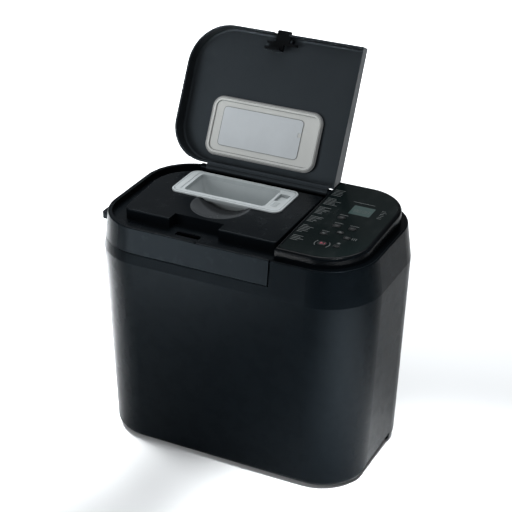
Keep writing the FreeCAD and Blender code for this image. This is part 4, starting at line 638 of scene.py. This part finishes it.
# A key stands KEY_TOP over the film. The key spots are their centres, in millimetres from home.
KEY_TOP = 0.001
OVAL_KEYS = ((119, 7), (122, -16), (144, -16))
TIMER_DOWN = (115, -42)
TIMER_UP = (133.5, -31)
LIGHT_KEY = (147, -41)
START_KEY = (124, -67)
WARM_SIGN = (143, -57.5)
OVAL_SIGN_UP = 8.2
TIMER_SIGN_UP = 7.5
BRACKET = (9.6, 0.8)
STRIPES_AT = (154, -40)
STRIPE_PITCH = 2.6
marks = []
for x, y in OVAL_KEYS:
    marks.append(set_down(bar(4.4, 0.8), x, y, KEY_TOP))
    marks.append(set_down(bar(12, 0.9), x, y + OVAL_SIGN_UP))
marks.append(set_down(flat_shape([(-2.4, 1.2), (0, -1.8), (2.4, 1.2)]), *TIMER_DOWN, KEY_TOP))
marks.append(set_down(flat_shape([(-2.4, -1.2), (2.4, -1.2), (0, 1.8)]), *TIMER_UP, KEY_TOP))
marks.append(set_down(arc_shape(1.3, 0.5, 0, 350), *LIGHT_KEY, KEY_TOP))
marks.append(set_down(bar(10, 0.9), TIMER_DOWN[0], TIMER_DOWN[1] + TIMER_SIGN_UP))
marks.append(set_down(arc_shape(*BRACKET, 140, 220), *START_KEY))
marks.append(set_down(arc_shape(*BRACKET, -40, 40), *START_KEY))
for turn in (0, 45, 90, 135):
    ray = bar(5.2, 0.5)
    ray.transform(Matrix.Rotation(math.radians(turn), 4, "Z"))
    marks.append(set_down(ray, *WARM_SIGN))
for i in range(3):
    marks.append(set_down(bar(0.7, 6), STRIPES_AT[0] + STRIPE_PITCH * i, STRIPES_AT[1]))
keep("key_signs", marks, "machine", white_ink)


# ---- Display
# The display is a grey-green liquid crystal behind its window. Its unlit figures show faintly, in
# the usual row of four with a colon.

def segment(x, y, length, wide, upright):
    """One pointed bar of a figure, lying or upright."""
    half, thick = length / 2, wide / 2
    points = [(-half, 0), (-half + thick, -thick), (half - thick, -thick),
              (half, 0), (half - thick, thick), (-half + thick, thick)]
    if upright:
        points = [(-b, a) for a, b in points]
    return flat_shape([(x + a, y + b) for a, b in points])


DIGIT_W = 3.6
DIGIT_H = 7.6
DIGIT_STROKE = 0.75
SEGMENT_GAP = 0.5
FIGURE_ROW = -1.2
DISPLAY_CENTRE = (136, 35)
figures = []
for left in (-10.2, -4.8, 1.6, 7.0):
    for x, y, upright in ((0, DIGIT_H / 2, False), (0, 0, False), (0, -DIGIT_H / 2, False),
                          (-DIGIT_W / 2, DIGIT_H / 4, True), (DIGIT_W / 2, DIGIT_H / 4, True),
                          (-DIGIT_W / 2, -DIGIT_H / 4, True), (DIGIT_W / 2, -DIGIT_H / 4, True)):
        long_side = DIGIT_H / 2 if upright else DIGIT_W
        spot = (left + DIGIT_W / 2 + x, y + FIGURE_ROW)
        figures.append(segment(*spot, long_side - SEGMENT_GAP, DIGIT_STROKE, upright))
for y in (0.6, -3.0):
    figures.append(segment(0.0, y, 0.9, 0.8, False))
for mesh in figures:
    set_down(mesh, *DISPLAY_CENTRE)
unlit_figure = printed("unlit_figure", (0.026, 0.046, 0.042, 1))
keep("display_figures", figures, "machine", unlit_figure)


# ---- Painted shade in the seams of the ingredient box and the cover's cap
# Dark strips paint the shade in the groove inside the box's rim, and two dark locating dots sit in
# opposite corners. Dark lines paint the shade round the edge of the cap under the cover, in the foot of
# its lip and round its plate.

def rounded(x0, x1, y0, y1, radius, steps=8):
    """The points of a rounded rectangle in millimetres, anticlockwise."""
    points = []
    for cx, cy, start in ((x1 - radius, y0 + radius, -90), (x1 - radius, y1 - radius, 0),
                          (x0 + radius, y1 - radius, 90), (x0 + radius, y0 + radius, 180)):
        for i in range(steps + 1):
            a = math.radians(start + 90 * i / steps)
            points.append((cx + radius * math.cos(a), cy + radius * math.sin(a)))
    return points


def seam(x0, x1, y0, y1, radius, width, z, thick):
    """A flat closed strip of one width along a rounded rectangle, thick upwards from height z."""
    outer = rounded(x0, x1, y0, y1, radius)
    inner = rounded(x0 + width, x1 - width, y0 + width, y1 - width, radius - width)
    strip = bmesh.new()
    rings = []
    for points, level in ((outer, z), (outer, z + thick), (inner, z + thick), (inner, z)):
        rings.append([strip.verts.new((x / 1000, y / 1000, level / 1000)) for x, y in points])
    for ring in range(4):
        a, b = rings[ring], rings[(ring + 1) % 4]
        for i in range(len(a)):
            j = (i + 1) % len(a)
            strip.faces.new((a[i], a[j], b[j], b[i]))
    mesh = bpy.data.meshes.new("seam")
    strip.to_mesh(mesh)
    strip.free()
    return mesh


def dot(x, y, z):
    """A small round mark lying at height z."""
    round_patch = arc_shape(0, 0.9, 0, 350)
    round_patch.transform(Matrix.Translation((x / 1000, y / 1000, z / 1000)))
    return round_patch


# Each outline is x0, x1, y0, y1 and corner radius, in millimetres from home with the cover shut.
BOX_GROOVE = (-132.2, 28.2, 3.8, 71.2, 9.4)
CAP_EDGE = (-138.6, 26.6, -4.6, 74.6, 13.6)
CAP_LIP_FOOT = (-135.0, 23.0, -1.0, 71.0, 10.0)
PLATE_EDGE = (-122.6, 1.6, 6.4, 62.6, 5.6)
BOX_TOP = 342.3
# Painted shade: a dark strip along the groove inside the box's rim, with two dark dots.
box_shade_marks = [seam(*BOX_GROOVE, 0.7, BOX_TOP, 0.05), dot(-130, 9, BOX_TOP), dot(25, 68, BOX_TOP)]
for mesh in box_shade_marks:
    mesh.transform(Matrix.Translation(home))
box_shadow = printed("box_groove_shade", (0.16, 0.175, 0.18, 1))
keep("box_seam_shade", box_shade_marks, "lid", box_shadow)

# The cover's hinge line from home, and the turn that raises the cover from shut.
COVER_HINGE = Vector((0, 0.0972, 0.3379))
COVER_OPEN = math.radians(-117.5)
turn_open = Matrix.Rotation(COVER_OPEN, 4, "X") @ Matrix.Translation(-COVER_HINGE)
swing = Matrix.Translation(home + COVER_HINGE) @ turn_open
CAP_FACE = 343.2
# Painted shade: dark strips round the cap's edge, in the foot of its lip and round its plate.
pad_shade_lines = [seam(*CAP_EDGE, 0.5, CAP_FACE - 0.05, 0.05),
             seam(*CAP_LIP_FOOT, 0.6, CAP_FACE + 2.45, 0.05),
             seam(*PLATE_EDGE, 0.6, CAP_FACE + 1.65, 0.8)]
for mesh in pad_shade_lines:
    mesh.transform(swing)
keep("pad_seam_shade", pad_shade_lines, "cover", printed("pad_groove_shade", (0.19, 0.2, 0.2, 1)))


# ---- Start key sign
# A red triangle with a bar beside it, printed on the start key, so that it moves with the key.

red_ink = printed("red_ink", (0.36, 0.035, 0.07, 1))
triangle = flat_shape([(-1.8, -2.2), (2.4, 0), (-1.8, 2.2)])
start_x, start_y = START_KEY
start_marks = [set_down(triangle, start_x - 0.8, start_y, KEY_TOP),
               set_down(bar(0.8, 4.4), start_x + 3.4, start_y, KEY_TOP)]
keep("start_sign", start_marks, "button_start", red_ink)


# ---- Studio
# A white floor under a dim cool sky, with a soft box in front and one above. Four narrow lights
# make pools on the floor for the sides to mirror, and a wide wash lights the floor behind.

LAMP_COLOUR = (0.95, 0.98, 1.0)


def soft_box(name, azimuth, distance, height, aim_distance, aim_height, size, power, spread):
    """An area light on one side of the machine, aimed at a point above the same side's floor."""
    a = math.radians(azimuth)
    side = Vector((math.sin(a), -math.cos(a), 0))
    place = home + side * distance + Vector((0, 0, height))
    aim = home + side * aim_distance + Vector((0, 0, aim_height))
    data = bpy.data.lights.new(name, "AREA")
    data.shape = "RECTANGLE"
    data.size, data.size_y = size
    data.energy = power
    data.spread = math.radians(spread)
    data.color = LAMP_COLOUR
    lamp = bpy.data.objects.new(name, data)
    lamp.location = place
    lamp.rotation_mode = "QUATERNION"
    lamp.rotation_quaternion = (place - aim).to_track_quat("Z", "Y")
    bpy.context.scene.collection.objects.link(lamp)


for lamp_values in (
        # name, azimuth, distance, height, distance and height aimed at, size, power, spread
        ("front_box", -30, 1.7, 0.5, 0, 0.25, (0.9, 1.0), 13, 180),
        ("band_pool", -33, 1.5, 1.1, 1.5, 0, (0.24, 0.35), 10, 45),
        ("face_pool", -25, 0.85, 1.1, 0.74, 0, (0.25, 0.12), 7, 30),
        ("right_pool", 58, 0.60, 1.1, 0.52, 0, (0.18, 0.30), 10, 40),
        ("left_pool", -92, 0.72, 1.1, 0.6, 0, (0.3, 0.30), 10, 50),
        ("top_box", 10, 0.5, 1.9, 0, 0.2, (1.8, 1.4), 7, 180),
        ("back_wash", 206, 1.7, 2.4, 1.9, 0, (1.6, 1.2), 75, 110)):
    soft_box(*lamp_values)
bpy.context.scene.view_settings.view_transform = "Standard"

world = bpy.data.worlds.new("studio_air")
bpy.context.scene.world = world
world.use_nodes = True
world.node_tree.nodes["Background"].inputs["Color"].default_value = (0.95, 0.97, 1.0, 1)
world.node_tree.nodes["Background"].inputs["Strength"].default_value = 0.22

FLOOR_REACH = 6.0
corners = [(FLOOR_REACH * x, FLOOR_REACH * y, 0) for x, y in ((-1, -1), (1, -1), (1, 1), (-1, 1))]
floor_mesh = bpy.data.meshes.new("floor")
floor_mesh.from_pydata(corners, [], [(0, 1, 2, 3)])
floor = bpy.data.objects.new("floor", floor_mesh)
floor_point, floor_feed = finish("floor_white", {"Specular IOR Level": 0.2})
floor_tone = floor_point.noise(0.4, 2).mix(grey(0.86), grey(0.89))
floor_white = floor_feed(Base_Color=floor_tone, Roughness=0.6 + floor_point.noise(0.05, 2) * 0.1)
floor_mesh.materials.append(floor_white)
bpy.context.scene.collection.objects.link(floor)

camera_data = bpy.data.cameras.new("camera")
camera_data.lens = 104.74
camera_data.sensor_width = 36
camera_data.clip_start = 0.05
camera = bpy.data.objects.new("camera", camera_data)
CAMERA_AZIMUTH = math.radians(25.89)
CAMERA_ELEVATION = math.radians(27.79)
CAMERA_ROLL = math.radians(0.466)
CAMERA_FROM_HOME = Vector((0.7791, -1.6075, 1.2126))
sin_a, cos_a = math.sin(CAMERA_AZIMUTH), math.cos(CAMERA_AZIMUTH)
sin_e, cos_e = math.sin(CAMERA_ELEVATION), math.cos(CAMERA_ELEVATION)
level_right = Vector((cos_a, sin_a, 0))
level_up = Vector((-sin_a * sin_e, cos_a * sin_e, cos_e))
backwards = Vector((sin_a * cos_e, -cos_a * cos_e, sin_e))
camera_right = level_right * math.cos(CAMERA_ROLL) + level_up * math.sin(CAMERA_ROLL)
camera_up = backwards.cross(camera_right)
camera.matrix_world = Matrix.Translation(home + CAMERA_FROM_HOME) @ Matrix(
    (camera_right, camera_up, backwards)).transposed().to_4x4()
bpy.context.scene.collection.objects.link(camera)
bpy.context.scene.camera = camera
